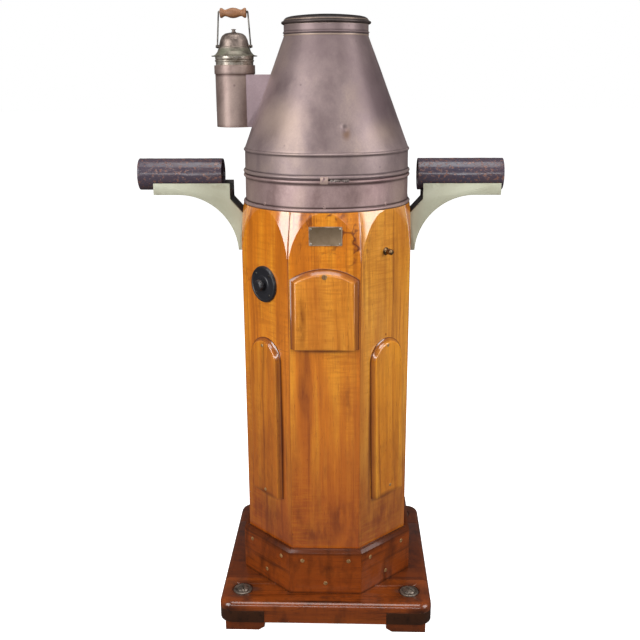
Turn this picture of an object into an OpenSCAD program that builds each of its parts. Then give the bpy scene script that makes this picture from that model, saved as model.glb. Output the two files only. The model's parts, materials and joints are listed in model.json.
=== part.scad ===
// Octagonal wooden ship's binnacle with a copper hood, a side oil lamp and
// two soft-iron corrector tubes. Front faces -Y, Z is up, millimetres.
// The origin is on the floor, at the centre of the four deck-bolt holes.

/* [Base] */
// Width of the square base board
base_w = 496; // [486:1:516]
// Thickness of the base board
base_h = 50; // [44:1:56]
// Height of the skids under the board
skid_h = 24; // [20:1:30]
// Radius of the board's corners in plan
base_corner_r = 32; // [16:1:40]
// Distance between deck-bolt holes, side to side
bolt_pitch = 396; // [386:1:404]
// Distance between deck-bolt holes, front to back
bolt_pitch_y = 376; // [366:1:400]
// Radius of the deck-bolt holes
bolt_hole_r = 6.5; // [5:0.5:8]

/* [Column] */
// Column width across flats
col_af = 380; // [376:1:384]
// Thickness of the staves
stave_t = 26; // [22:1:28]
// Height of the skirting boards
skirt_h = 114; // [90:1:130]
// Thickness of the skirting boards
skirt_t = 13; // [10:1:16]
// Thickness of the raised panels and the access door
panel_t = 12; // [8:1:14]

/* [Hood] */
// Outer radius of the hood's straight part
hood_r = 185; // [184:0.5:186]
// Outer radius of the cone at its top
cone_top_r = 92.5; // [90:0.5:96]
// Thickness of the sheet copper
sheet = 1.5; // [1.2:0.1:1.6]

/* [Side lamp] */
// Distance from the column's axis to the lamp's axis
lamp_x = 203.5; // [200:0.5:206]
// Outer radius of the lamp's body
lamp_r = 41; // [38:0.5:41]

/* [Correctors] */
// Length of each corrector tube
tube_len = 192; // [180:1:196]
// Outer radius of each corrector tube
tube_r = 36; // [34:0.5:36]
// Wall thickness of each corrector tube
tube_wall = 4; // [3:0.5:6]
// Distance of the left tube's middle from the axis
left_tube_x = 333; // [320:1:345]
// Distance of the right tube's middle from the axis
right_tube_x = 303; // [300:1:345]

/* [Compass] */
// Outer radius of the bowl
bowl_r = 118; // [112:1:118]
// Height of the gimbal axes above the floor
gimbal_z = 1020; // [1016:1:1022]
// Radius of the compass card
card_r = 98; // [80:1:102]

/* [Hidden] */
$fn = 96;

// clearances and small sizes
eps = 0.01;
gap = 0.3;         // between bodies that move apart
run = 0.06;        // radial clearance of a pin in its hole
seam = 0.05;       // half the joint line between neighbouring boards
past = 1;          // how far a cutter runs past a face
tan_half = tan(22.5);

// base
board_z = skid_h;
board_top = board_z + base_h;
bearer_h = 30;
bearer_in = 142;   // inner edge of bearers and skids, from the middle
skid_out = 234;
skid_setback = 5;
skid_bevel = [14, 9];
cap_r = 22;
cap_depth = 5.7;
cap_dome_r = 34;
cap_rise = 7.5;
bore_depth = 6;
cap_groove = [3.5, 1.5]; // width and depth of the recess around a cap

// column
col_a = col_af / 2;
face_half = col_a * tan_half;
inner_a = col_a - stave_t;
inner_half = inner_a * tan_half;
corner_r = col_a / cos(22.5);
stave_top = board_top + 956;
ledge_z = board_top + 902;      // shoulder that the seat ring stands on
seat_r = 183.3;                 // turned seat under the ring
turn_z = board_top + 766;       // where the turned top starts
turn_radius = 579;              // radius of the turned top's outline
turn_steps = 8;
skirt_a = col_a + skirt_t;
skirt_top = board_top + skirt_h;
skirt_bevel = [6, 8];
skirt_screws = [[-54, 27], [54, 27], [0, 86]]; // across, and down from the top edge

// panels, with z measured up from the board
door = [75, board_top + 603, board_top + 759, 24];        // half width, bottom, spring, rise
door_field = [62, board_top + 604, board_top + 759, 17];
door_hole = [54, board_top + 616, board_top + 758, 17];
door_plug_t = 7;
door_play = 1;
door_back = col_a + gap;
side_panel = [51.5, board_top + 230, board_top + 561.5];  // half width, bottom, spring
right_panel_set = [6, 1.5];     // how far the right panel sits to the right, and its lean in degrees
side_screws = [                 // face, across, height
    [7, 0, board_top + 240], [7, 0, board_top + 596], [1, 12, board_top + 251], [1, -3, board_top + 599]
];
screw_r = 4.6;
screw_shank_r = 1.8;
screw_len = 16;
screw_proud = 0.9;
lock_r = 6;
lock_z = door[2] + 8;
plate = [71, 41, 1.5];
plate_pos = [2.3, board_top + 853];
peg_pos = [-3.5, board_top + 811];
switch_r = 41;
switch_t = 7;
switch_z = board_top + 736;
knob_r = 13.5;
knob_h = 15;
spindle_r = 3;

// seat ring
ring_out = seat_r + 0.2 + sheet;
ring_in = seat_r + 0.2;
ring_top = board_top + 969.5;
bead_r = 4;
ring_screw_z = board_top + 914;

// hood
hood_z = ring_top + 1.3;
cyl_top = hood_z + 51.2;
cone_z = cyl_top + 3;
cone_base_r = hood_r + 0.2;
cone_top = board_top + 1264;
collar_top = cone_top + 23;
lid_rim_z = collar_top + 3.6;
lid_rim_r = 95.2;
lid_step_z = lid_rim_z + 7.4;
lid_top = lid_rim_z + 18.1;
lid_arc_r = 620;
lid_flat_r = 80;    // where the top starts to turn down

// side lamp
pocket_r = 43.4;
pocket_wall = 1.2;
pocket_z = board_top + 1070;
pocket_top = board_top + 1183;
pocket_collar_r = 45.2;
pocket_collar = [pocket_top + 1, pocket_top + 20];
box_half = 33;
light_half = 30;
light_z = [pocket_z + sheet + 0.1, pocket_top - 7];
lamp_z = pocket_z + sheet + gap;
lamp_top = board_top + 1221.5;
lamp_skin = 1.2;
window_half = 22;
window_z = [lamp_z + 30, lamp_z + 94];
flange_r = 50.7;
flange_z = lamp_top;
ear_z = board_top + 1243;
ear_x = 36.7;     // middle of the eye at the foot of the bail
ear_end = 41;
ear_pin_r = 2.2;
ear_head = [3.4, 2]; // radius and thickness of the pin's head
eye = [4.2, 1.9];    // radius and half thickness of the bail's eye
wire_r = 1.7;
grip_z = board_top + 1312.7;
grip_half = 28.5;
grip_wire_x = 32.5;
wick_wheel = [-5.6, lamp_z + 38]; // y and z of the winder's axis
fount_r = 36;
fount_top = lamp_z + 32;
burner_r = 14;
burner_top = fount_top + 14;

// brackets and corrector tubes
cheek_in = 32.3;
cheek_t = 6;
bracket_foot = board_top + 794;
bracket_knee = [board_top + 879, board_top + 910];
bracket_in = 218;
bracket_out = 393;
bracket_top = board_top + 946.5;
trough_z = board_top + 927;
trough_t = 5;
web_t = 6;
arc_x = 336;
arc_z = board_top + 786;
arc_r = 134;
tube_z = trough_z + tube_r + 0.4;
slot_x = [287, 365];
clamp_r = 4;
bracket_bolt_z = [board_top + 812, board_top + 858];
bracket_bolt_r = 5;

// gimbal and bowl
gimbal_in = bowl_r + 9;
gimbal_out = gimbal_in + 9;
gimbal_half_h = 8;
pin_r = 4;
pin_end = 158;
bearing_x = 144;
bowl_rim = gimbal_z + 8;
bowl_wall = 3;
bowl_floor = gimbal_z - 95;
card_z = gimbal_z - 12;
card_t = 1.2;
pivot_r = 2.5;

// inside the column
shelf_z = board_top + 780;
shelf_t = 16;
low_shelf_z = board_top + 486;
rod_x = 100;
rod_r = 6;
tube_in_r = 23;
tube_out_r = 26;
heel_len = 180;
carriage = [230, 200, 36];
carriage_z = board_top + 641;
carriage_hole_r = 32;
magnet_r = 4.5;
magnet_len = 186;
bucket_r = 22.6;
bucket_z = board_top + 696;
bucket_h = 60;

// outline of the turned top of the column
function turned_r(z) = corner_r + 0.5 - pow(z - turn_z, 2) / (2 * turn_radius);
function turned_z(i) = turn_z + (ledge_z - turn_z) * i / turn_steps;
// outline of the wooden grip
function grip_radius(x) = 8.7 + 2.3 * cos(360 * x / 38);
function grip_x(part) = grip_half * (2 * part - 1);

// turns children to face k: 0 front, 1 front right, 2 right, 4 rear, 6 left, 7 front left
module on_face(k) { rotate([0, 0, 45 * k]) children(); }

// stands a shape drawn in X and Z upright, its thickness t running from y towards the front
module upright(y, t) { translate([0, y, 0]) rotate([90, 0, 0]) linear_extrude(t) children(); }

module tube(r_out, r_in, z0, z1) {
    translate([0, 0, z0])
        difference() {
            cylinder(r = r_out, h = z1 - z0);
            translate([0, 0, -past]) cylinder(r = r_in, h = z1 - z0 + 2 * past);
        }
}

module bead(r, t, z) { translate([0, 0, z]) rotate_extrude() translate([r, 0]) circle(r = t, $fn = 32); }

module bar_x(r, x0, x1, y, z) { translate([x0, y, z]) rotate([0, 90, 0]) cylinder(r = r, h = x1 - x0); }

module bar_y(r, y0, y1, x, z) { translate([x, y1, z]) rotate([90, 0, 0]) cylinder(r = r, h = y1 - y0); }

// a board with a segmental top: d = [half width, bottom, spring, rise]
module arched(d) {
    arc = (d[0] * d[0] + d[3] * d[3]) / (2 * d[3]);
    translate([-d[0], d[1]]) square([2 * d[0], d[2] - d[1]]);
    intersection() {
        translate([0, d[2] + d[3] - arc]) circle(r = arc);
        translate([-d[0], d[2] - past]) square([2 * d[0], d[3] + 2 * past]);
    }
}

module octagon(a) { polygon([for (i = [0:7]) a / cos(22.5) * [cos(45 * i + 22.5), sin(45 * i + 22.5)]]); }

module at_bolts() {
    for (sx = [-1, 1])
        for (sy = [-1, 1])
            translate([sx * bolt_pitch / 2, sy * bolt_pitch_y / 2, 0]) children();
}

module at_bolt_floor(z) { at_bolts() translate([0, 0, z]) children(); }

module bolt_holes() { at_bolt_floor(-past) cylinder(r = bolt_hole_r, h = board_top + 2 * past); }

// ---- base ----
module board_plan() {
    inset = base_w / 2 - base_corner_r;
    square([base_w, 2 * inset], center = true);
    square([2 * inset, base_w], center = true);
    for (sx = [-1, 1])
        for (sy = [-1, 1])
            translate([sx * inset, sy * inset]) circle(r = base_corner_r);
}

module skids() {
    color("saddlebrown")
        difference() {
            for (s = [0, 1])
                mirror([s, 0, 0])
                    upright(base_w / 2 - skid_setback, base_w - 2 * skid_setback)
                        polygon([
                            [bearer_in, skid_h], [skid_out, skid_h], [skid_out, 0],
                            [bearer_in + skid_bevel[0], 0], [bearer_in, skid_bevel[1]]
                        ]);
            bolt_holes();
        }
}

module bearers() {
    color([0.16, 0.1, 0.08])
        difference() {
            translate([0, 0, board_z]) linear_extrude(bearer_h) board_plan();
            cube([2 * bearer_in, 2 * base_w, 4 * board_top], center = true);
            bolt_holes();
        }
}

module base_board() {
    color([0.45, 0.2, 0.08])
        difference() {
            translate([0, 0, board_z]) linear_extrude(base_h) board_plan();
            for (s = [0, 1])
                mirror([s, 0, 0])
                    translate([bearer_in, -base_w, board_z - past])
                        cube([base_w, 2 * base_w, bearer_h + past]);
            bolt_holes();
            at_bolt_floor(board_top - bore_depth) cylinder(r = cap_r, h = bore_depth + past);
            at_bolt_floor(board_top - cap_groove[1])
                cylinder(r = cap_r + cap_groove[0], h = cap_groove[1] + past);
        }
}

module deck_bolt_caps() {
    color([0.35, 0.33, 0.3])
        at_bolts()
            difference() {
                union() {
                    translate([0, 0, board_top - cap_depth]) cylinder(r = cap_r, h = cap_depth);
                    intersection() {
                        translate([0, 0, board_top + cap_rise - cap_dome_r]) sphere(r = cap_dome_r);
                        translate([0, 0, board_top - past]) cylinder(r = cap_r, h = cap_rise + 2 * past);
                    }
                }
                translate([0, 0, board_top + cap_rise]) cube([3, 3 * cap_r, 5], center = true);
            }
}

// ---- column ----
module wedge(a) { polygon([[0, -seam / tan_half], [seam - a * tan_half, -a], [a * tan_half - seam, -a]]); }

module skirting_boards() {
    color([0.4, 0.17, 0.07])
        for (k = [0:7])
            on_face(k)
                intersection() {
                    translate([-skirt_a, 0, 0])
                        rotate([90, 0, 90])
                            linear_extrude(2 * skirt_a)
                                polygon([
                                    [-col_a, board_top], [-skirt_a, board_top],
                                    [-skirt_a, skirt_top - skirt_bevel[1]],
                                    [-skirt_a + skirt_bevel[0], skirt_top], [-col_a, skirt_top]
                                ]);
                    linear_extrude(2 * skirt_top) wedge(skirt_a + past);
                }
}

module wood_screw(head_r, shank_r, len) {
    rotate([90, 0, 0]) cylinder(r = head_r, h = screw_proud);
    rotate([-90, 0, 0]) cylinder(r = shank_r, h = len);
}

module skirting_screws() {
    color("tan")
        for (k = [0:7])
            on_face(k)
                for (p = skirt_screws)
                    translate([p[0], -skirt_a, skirt_top - p[1]])
                        wood_screw(screw_r, screw_shank_r, skirt_t + 8);
}

module turned_body() {
    rotate_extrude()
        polygon(concat(
            [[0, board_top], [corner_r + 0.5, board_top], [corner_r + 0.5, turn_z]],
            [for (i = [1:turn_steps]) [turned_r(turned_z(i)), turned_z(i)]],
            [[seat_r, ledge_z], [seat_r, stave_top], [0, stave_top]]
        ));
}

module stave_blank() {
    intersection() {
        translate([0, 0, board_top])
            linear_extrude(stave_top - board_top)
                polygon([
                    [seam - face_half, -col_a], [face_half - seam, -col_a],
                    [inner_half - seam, -inner_a], [seam - inner_half, -inner_a]
                ]);
        turned_body();
    }
}

module front_stave() {
    color([0.8, 0.45, 0.12])
        difference() {
            stave_blank();
            upright(-inner_a + past, stave_t + 2 * past) arched(door_hole);
        }
}

module front_left_stave() {
    color([0.78, 0.43, 0.12])
        on_face(7)
            difference() {
                stave_blank();
                bar_y(spindle_r + run, -col_a - past, -col_a + 8, 0, switch_z);
            }
}

module front_right_stave() { color([0.8, 0.47, 0.14]) on_face(1) stave_blank(); }

module drilled_stave() {
    difference() {
        stave_blank();
        for (z = bracket_bolt_z)
            bar_y(bracket_bolt_r, -col_a - past, -inner_a + past, 0, z);
    }
}

module left_stave() { color([0.75, 0.4, 0.1]) on_face(6) drilled_stave(); }

module right_stave() { color([0.75, 0.42, 0.12]) on_face(2) drilled_stave(); }

module rear_staves() { color([0.72, 0.4, 0.12]) for (k = [3:5]) on_face(k) stave_blank(); }

module nameplate() {
    color([0.5, 0.45, 0.3])
        translate([plate_pos[0] - plate[0] / 2, -col_a - plate[2], plate_pos[1] - plate[1] / 2])
            cube([plate[0], plate[2], plate[1]]);
}

module small_screws() {
    color("darkgoldenrod") {
        for (sx = [-1, 1])
            for (sz = [-1, 1]) {
                translate([plate_pos[0] + sx * 31, -col_a - plate[2], plate_pos[1] + sz * 16])
                    wood_screw(2.2, 1, 8);
                on_face(7)
                    translate([sx * 22, -col_a - switch_t, switch_z + sz * 22]) wood_screw(3, 1.4, 14);
            }
        for (s = side_screws)
            on_face(s[0])
                translate([s[1], -col_a - panel_t, s[2]]) wood_screw(screw_r, screw_shank_r, screw_len);
    }
}

module side_panel_board() {
    upright(-col_a, panel_t) {
        translate([-side_panel[0], side_panel[1]])
            square([2 * side_panel[0], side_panel[2] - side_panel[1]]);
        translate([0, side_panel[2]]) circle(r = side_panel[0]);
    }
}

module left_side_panel() { color([0.75, 0.42, 0.12]) on_face(7) side_panel_board(); }

module right_side_panel() {
    middle = (side_panel[1] + side_panel[2] + side_panel[0]) / 2;
    color([0.78, 0.45, 0.13])
        on_face(1)
            translate([right_panel_set[0], 0, middle])
                rotate([0, -right_panel_set[1], 0])
                    translate([0, 0, -middle]) side_panel_board();
}

module switch_base() {
    color([0.07, 0.07, 0.08])
        on_face(7)
            difference() {
                bar_y(switch_r, -col_a - switch_t, -col_a, 0, switch_z);
                bar_y(spindle_r + run, -col_a - switch_t - past, -col_a + past, 0, switch_z);
            }
}

module switch_knob() {
    color([0.1, 0.1, 0.1])
        on_face(7)
            difference() {
                union() {
                    bar_y(knob_r, -col_a - switch_t - gap - knob_h, -col_a - switch_t - gap, 0, switch_z);
                    bar_y(spindle_r, -col_a - switch_t - past, -col_a + 6, 0, switch_z);
                }
                for (i = [0:5])
                    translate([0, 0, switch_z])
                        rotate([0, 60 * i, 0])
                            bar_y(3, -col_a - 3 * knob_h, -col_a - switch_t - gap - 4, knob_r + 1, 0);
            }
}

module brass_peg() {
    color("goldenrod")
        on_face(1)
            translate([peg_pos[0], -col_a, peg_pos[1]])
                rotate([90, 0, 0])
                    rotate_extrude()
                        polygon([
                            [0, 0], [8.5, 0], [8.5, 2.6], [5.6, 3.6], [4.6, 5.2], [5.6, 6.6],
                            [6.3, 8], [6.3, 17], [5.4, 19.2], [0, 20.2]
                        ]);
}

// ---- seat ring that the hood stands on ----
module seat_ring() {
    color([0.42, 0.3, 0.27])
        difference() {
            union() {
                tube(ring_out, ring_in, ledge_z, ring_top);
                bead(ring_out, bead_r, ring_top - bead_r);
                bead(ring_out + 1.5, bead_r, ledge_z + bead_r);
            }
            translate([0, 0, ledge_z - past]) cylinder(r = ring_in, h = ring_top - ledge_z + 2 * past);
        }
}

module seat_ring_screws() {
    color("tan")
        for (k = [0:7])
            on_face(k) translate([0, -ring_out, ring_screw_z]) wood_screw(4, 1.6, 14);
}

module index_lug() {
    color([0.35, 0.28, 0.22]) {
        lug_y = -ring_out - bead_r - 4.5;
        translate([-8, lug_y, ring_top - 7]) cube([16, 4, 15]);
        translate([-8, lug_y, ring_top - 7]) cube([16, 7, 5]);
    }
}

// ---- corrector brackets ----
module bracket_side() {
    difference() {
        polygon([
            [col_a, bracket_foot], [col_a, bracket_knee[0]], [bracket_in, bracket_knee[1]],
            [bracket_in, bracket_top], [bracket_out, bracket_top], [bracket_out, arc_z + arc_r],
            [arc_x, arc_z + arc_r], [arc_x, bracket_foot]
        ]);
        translate([arc_x, arc_z]) circle(r = arc_r);
    }
}

module bracket_cheeks() {
    color([0.66, 0.68, 0.58])
        for (s = [0, 1])
            mirror([s, 0, 0]) {
                upright(cheek_in + cheek_t, cheek_t) bracket_side();
                upright(-cheek_in, cheek_t) bracket_side();
            }
}

module bracket_webs() {
    color([0.08, 0.08, 0.08])
        for (s = [0, 1])
            mirror([s, 0, 0])
                difference() {
                    upright(cheek_in, 2 * cheek_in)
                        polygon([
                            [col_a, bracket_foot], [col_a + web_t, bracket_foot],
                            [col_a + web_t, bracket_knee[0] - 2], [bracket_in + web_t, bracket_knee[1] - 2],
                            [bracket_in + web_t, trough_z - trough_t], [bracket_out, trough_z - trough_t],
                            [bracket_out, trough_z], [bracket_in, trough_z],
                            [bracket_in, bracket_knee[1]], [col_a, bracket_knee[0]]
                        ]);
                    for (z = bracket_bolt_z)
                        bar_x(bracket_bolt_r, col_a - past, col_a + web_t + past, 0, z);
                    translate([0, 0, trough_z - trough_t - past])
                        linear_extrude(trough_t + 2 * past) {
                            translate([slot_x[0] + 5, -5]) square([slot_x[1] - slot_x[0] - 10, 10]);
                            for (x = [slot_x[0] + 5, slot_x[1] - 5])
                                translate([x, 0]) circle(r = 5);
                        }
                }
}

module bracket_bolts() {
    color("dimgray")
        for (s = [0, 1])
            mirror([s, 0, 0])
                for (z = bracket_bolt_z) {
                    bar_x(bracket_bolt_r, inner_a - 10, col_a + web_t, 0, z);
                    bar_x(9, col_a + web_t, col_a + web_t + 6, 0, z);
                    translate([inner_a - 8, 0, z]) rotate([0, 90, 0]) cylinder(r = 9.5, h = 8, $fn = 6);
                }
}

module corrector_tube(x) {
    difference() {
        bar_x(tube_r, x - tube_len / 2, x + tube_len / 2, 0, tube_z);
        bar_x(tube_r - tube_wall, x - tube_len, x + tube_len, 0, tube_z);
        translate([x, 0, tube_z - 2 * tube_r]) cylinder(r = clamp_r, h = 2 * tube_r);
    }
}

// headed bolt inside the tube, with a washer and a wing nut under the trough
module tube_clamp(x) {
    under = trough_z - trough_t - gap;
    inside = tube_z - tube_r + tube_wall;
    difference() {
        union() {
            translate([x, 0, under - 3]) cylinder(r = clamp_r, h = inside + 1.2 - under + 3);
            translate([x, 0, inside + 1.1]) cylinder(r = 8, h = 5, $fn = 6);
            translate([x, 0, under - 3]) cylinder(r = 9, h = 3);
        }
        translate([x, 0, under - 3]) cube([20, 1.6, 2.4], center = true);
    }
}

module left_corrector_tube() { color([0.2, 0.13, 0.13]) corrector_tube(-left_tube_x); }

module right_corrector_tube() { color([0.2, 0.13, 0.13]) corrector_tube(right_tube_x); }

module left_tube_clamp() { color("darkgoldenrod") tube_clamp(-left_tube_x); }

module right_tube_clamp() { color("darkgoldenrod") tube_clamp(right_tube_x); }

// ---- access door ----
module access_door() {
    color([0.8, 0.47, 0.15])
        difference() {
            union() {
                upright(-door_back, panel_t / 2) arched(door);
                upright(-door_back - panel_t / 2 + eps, panel_t / 2) arched(door_field);
                upright(-col_a + door_plug_t, door_plug_t + gap + eps)
                    arched([
                        door_hole[0] - door_play, door_hole[1] + door_play,
                        door_hole[2] - door_play, door_hole[3]
                    ]);
            }
            bar_y(lock_r, -col_a - 2 * panel_t, -inner_a, 0, lock_z);
        }
}

module door_lock() {
    color("darkgoldenrod")
        difference() {
            union() {
                bar_y(lock_r, -door_back - panel_t - 1, -col_a + door_plug_t, 0, lock_z);
                translate([-14, -col_a + door_plug_t, lock_z - 26]) cube([28, 10, 28]);
            }
            translate([0, -door_back - panel_t - 1, lock_z]) {
                bar_y(1.8, -past, 6, 0, 1.2);
                translate([-0.8, -past, -3.6]) cube([1.6, 6 + past, 4]);
            }
        }
}

// ---- hood ----
module hood_outer() {
    rotate_extrude()
        polygon([
            [0, hood_z], [hood_r, hood_z], [hood_r, cyl_top], [cone_base_r, cone_z],
            [cone_top_r, cone_top], [0, cone_top]
        ]);
}

module hood_shell() {
    skirt_r = ring_in - gap;
    color([0.5, 0.38, 0.34])
        difference() {
            union() {
                rotate_extrude()
                    polygon([
                        [skirt_r, stave_top + gap], [skirt_r, hood_z], [hood_r, hood_z], [hood_r, cyl_top],
                        [cone_base_r, cone_z], [cone_top_r, cone_top], [cone_top_r - sheet, cone_top],
                        [cone_base_r - sheet, cone_z - 0.6], [hood_r - sheet, cyl_top - 0.6],
                        [hood_r - sheet, hood_z + 3], [skirt_r - sheet, hood_z + 1.2],
                        [skirt_r - sheet, stave_top + gap]
                    ]);
                bead(hood_r, bead_r, hood_z + bead_r);
                bead(hood_r - 0.5, 3.2, cyl_top - 0.2);
            }
            translate([-lamp_x, -light_half, light_z[0]])
                cube([lamp_x - cone_top_r, 2 * light_half, light_z[1] - light_z[0]]);
        }
}

module hood_collar() {
    color([0.45, 0.35, 0.32]) {
        tube(cone_top_r + 0.5, cone_top_r - 1, cone_top, collar_top);
        difference() {
            bead(cone_top_r + 0.5, 2, cone_top + 6);
            cylinder(r = cone_top_r, h = 2 * cone_top);
        }
    }
}

module lamp_pocket() {
    color([0.5, 0.4, 0.36])
        difference() {
            union() {
                translate([-lamp_x, 0, pocket_z]) cylinder(r = pocket_r, h = pocket_collar[0] - pocket_z);
                translate([-lamp_x, 0, pocket_collar[0]])
                    cylinder(r = pocket_collar_r, h = pocket_collar[1] - pocket_collar[0]);
                translate([-lamp_x, -box_half, pocket_z]) cube([lamp_x, 2 * box_half, pocket_top - pocket_z]);
            }
            translate([-lamp_x, 0, pocket_z + sheet])
                cylinder(r = pocket_r - pocket_wall, h = pocket_collar[1] - pocket_z);
            translate([-lamp_x, -box_half + pocket_wall, pocket_z + pocket_wall])
                cube([lamp_x + past, 2 * (box_half - pocket_wall), pocket_top - pocket_z - 2 * pocket_wall]);
            hood_outer();
        }
}

module top_lid() {
    spigot_r = cone_top_r - 1 - 0.6;
    step_r = cone_top_r + 0.2;
    arc_mid = lid_top - lid_arc_r;
    color([0.12, 0.1, 0.1]) {
        rotate_extrude()
            polygon(concat(
                [for (i = [0:6]) let (r = lid_flat_r * i / 6) [r, arc_mid + sqrt(pow(lid_arc_r, 2) - r * r)]],
                [[86.5, lid_top - 6.9], [90.5, lid_top - 9.2], [step_r, lid_top - 12.2]],
                [[lid_rim_r, lid_rim_z + 2], [lid_rim_r, lid_rim_z - 2]],
                [[lid_rim_r - sheet, lid_rim_z - 2], [lid_rim_r - sheet, lid_rim_z + 1.5]],
                [[step_r - sheet, lid_step_z - sheet], [lid_flat_r + 4, lid_top - 8.6], [0, lid_top - 2]]
            ));
        bead(lid_rim_r, 3.2, lid_rim_z);
        tube(spigot_r, spigot_r - sheet, collar_top - 13, lid_step_z);
    }
}

// ---- side lamp ----
module at_lamp() { translate([-lamp_x, 0, 0]) children(); }

module lamp_body() {
    color([0.45, 0.36, 0.32])
        at_lamp()
            difference() {
                rotate_extrude()
                    polygon([
                        [0, lamp_z], [lamp_r, lamp_z], [lamp_r, pocket_collar[1]],
                        [lamp_r + 0.6, pocket_collar[1] + 1], [lamp_r + 0.6, pocket_collar[1] + 7],
                        [lamp_r + 2, pocket_collar[1] + 8], [lamp_r + 2, lamp_top],
                        [lamp_r - lamp_skin, lamp_top], [lamp_r - lamp_skin, lamp_z + sheet],
                        [0, lamp_z + sheet]
                    ]);
                translate([0, -window_half, window_z[0]])
                    cube([2 * lamp_r, 2 * window_half, window_z[1] - window_z[0]]);
            }
}

module lamp_window() {
    pane_r = lamp_r - lamp_skin;
    color([0.8, 0.9, 0.9, 0.5])
        at_lamp()
            intersection() {
                tube(pane_r, pane_r - 2, window_z[0] - 3, window_z[1] + 3);
                translate([0, -window_half - 3, window_z[0] - 4])
                    cube([2 * lamp_r, 2 * window_half + 6, window_z[1] - window_z[0] + 8]);
            }
}

module wick_slot(w, t) { translate([-w / 2, -t / 2, lamp_z + 10]) cube([w, t, 60]); }

module oil_fount() {
    color("darkgoldenrod")
        at_lamp()
            difference() {
                rotate_extrude()
                    polygon([
                        [0, lamp_z + sheet], [fount_r, lamp_z + sheet], [fount_r, fount_top - 8],
                        [fount_r - 8, fount_top], [0, fount_top]
                    ]);
                wick_slot(12.6, 2.6);
            }
}

module burner() {
    color("goldenrod")
        at_lamp()
            difference() {
                union() {
                    translate([0, 0, fount_top]) cylinder(r = burner_r, h = burner_top - fount_top);
                    translate([0, 0, burner_top - eps]) cylinder(r1 = 10, r2 = 8, h = 4);
                }
                wick_slot(12.6, 2.6);
                bar_x(5, -6, 6, wick_wheel[0], wick_wheel[1]);
                bar_x(1.5 + run, -2 * burner_r, 0, wick_wheel[0], wick_wheel[1]);
            }
}

module wick() {
    color("ivory") at_lamp() translate([-6, -1, lamp_z + 20]) cube([12, 2, 34]);
}

module wick_winder() {
    color("goldenrod")
        at_lamp() {
            bar_x(4, -5, 5, wick_wheel[0], wick_wheel[1]);
            bar_x(1.5, -30, -4, wick_wheel[0], wick_wheel[1]);
            bar_x(6.5, -32, -29, wick_wheel[0], wick_wheel[1]);
        }
}

module lamp_cap() {
    dome = [
        [50.7, 0], [50.7, 2], [44, 3], [39, 7], [35.5, 13], [33.6, 21], [33, 24], [31.6, 31],
        [29.4, 38], [26, 44], [20, 48], [11, 50], [0, 50.4]
    ];
    skin = 1.4;
    color([0.36, 0.36, 0.3])
        at_lamp()
            translate([0, 0, flange_z])
                difference() {
                    union() {
                        rotate_extrude() polygon(concat([[0, 0]], dome));
                        translate([0, 0, 50]) cylinder(r = 5.5, h = 8);
                        bar_x(ear_pin_r, -ear_end, ear_end, 0, ear_z - flange_z);
                        for (s = [0, 1])
                            mirror([s, 0, 0])
                                bar_x(ear_head[0], ear_end - ear_head[1], ear_end, 0, ear_z - flange_z);
                    }
                    rotate_extrude()
                        polygon(concat(
                            [[0, -past], [40, -past]],
                            [for (i = [3:11]) dome[i] - [skin, skin]],
                            [[0, 50.4 - 2 * skin]]
                        ));
                }
}

module bail_wire() {
    leg = [grip_wire_x - ear_x, grip_z - ear_z];
    color([0.25, 0.25, 0.25])
        at_lamp() {
            for (s = [0, 1])
                mirror([s, 0, 0])
                    difference() {
                        union() {
                            bar_x(eye[0], ear_x - eye[1], ear_x + eye[1], 0, ear_z);
                            translate([ear_x, 0, ear_z]) rotate([0, atan2(leg[0], leg[1]), 0])
                                cylinder(r = wire_r, h = norm(leg));
                            translate([grip_wire_x, 0, grip_z]) sphere(r = wire_r + 0.2, $fn = 48);
                        }
                        bar_x(ear_pin_r + run, ear_x - 5, ear_x + 5, 0, ear_z);
                    }
            bar_x(wire_r, -grip_wire_x, grip_wire_x, 0, grip_z);
        }
}

module bail_grip() {
    steps = 24;
    color("peru")
        at_lamp()
            translate([0, 0, grip_z])
                rotate([0, 90, 0])
                    rotate_extrude()
                        polygon(concat(
                            [[wire_r + run, -grip_half]],
                            [for (i = [0:steps]) [grip_radius(grip_x(i / steps)), grip_x(i / steps)]],
                            [[wire_r + run, grip_half]]
                        ));
}

// ---- compass ----
module gimbal_bearings() {
    color("darkgoldenrod")
        for (s = [0, 1])
            mirror([s, 0, 0])
                difference() {
                    translate([bearing_x, -16, gimbal_z - 20]) cube([inner_a - bearing_x, 32, 29]);
                    bar_x(pin_r + run, bearing_x - past, pin_end + 2, 0, gimbal_z);
                }
}

module gimbal_ring() {
    color("goldenrod")
        difference() {
            union() {
                tube(gimbal_out, gimbal_in, gimbal_z - gimbal_half_h, gimbal_z + gimbal_half_h);
                for (s = [0, 1])
                    mirror([s, 0, 0]) bar_x(pin_r, gimbal_in + 2, pin_end, 0, gimbal_z);
            }
            bar_y(pin_r + run, -2 * gimbal_out, 2 * gimbal_out, 0, gimbal_z);
        }
}

module compass_bowl() {
    color("goldenrod") {
        rotate_extrude()
            polygon([
                [0, bowl_floor], [45, bowl_floor], [80, bowl_floor + 15], [105, bowl_floor + 40],
                [bowl_r, bowl_floor + 70], [bowl_r, bowl_rim], [bowl_r - bowl_wall, bowl_rim],
                [bowl_r - bowl_wall, bowl_floor + 71], [102, bowl_floor + 42], [78, bowl_floor + 18],
                [0, bowl_floor + 18]
            ]);
        translate([0, 0, bowl_floor + 15]) cylinder(r = 5, h = 40);
        translate([0, 0, bowl_floor + 50]) cylinder(r = pivot_r, h = card_z - 5 - bowl_floor - 50);
        for (s = [0, 1])
            mirror([0, s, 0]) bar_y(pin_r, bowl_r - 1, gimbal_out - 0.5, 0, gimbal_z);
        translate([0, -bowl_r + bowl_wall + 1.2, gimbal_z - 24]) cylinder(r = 1.4, h = 27);
    }
}

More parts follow.
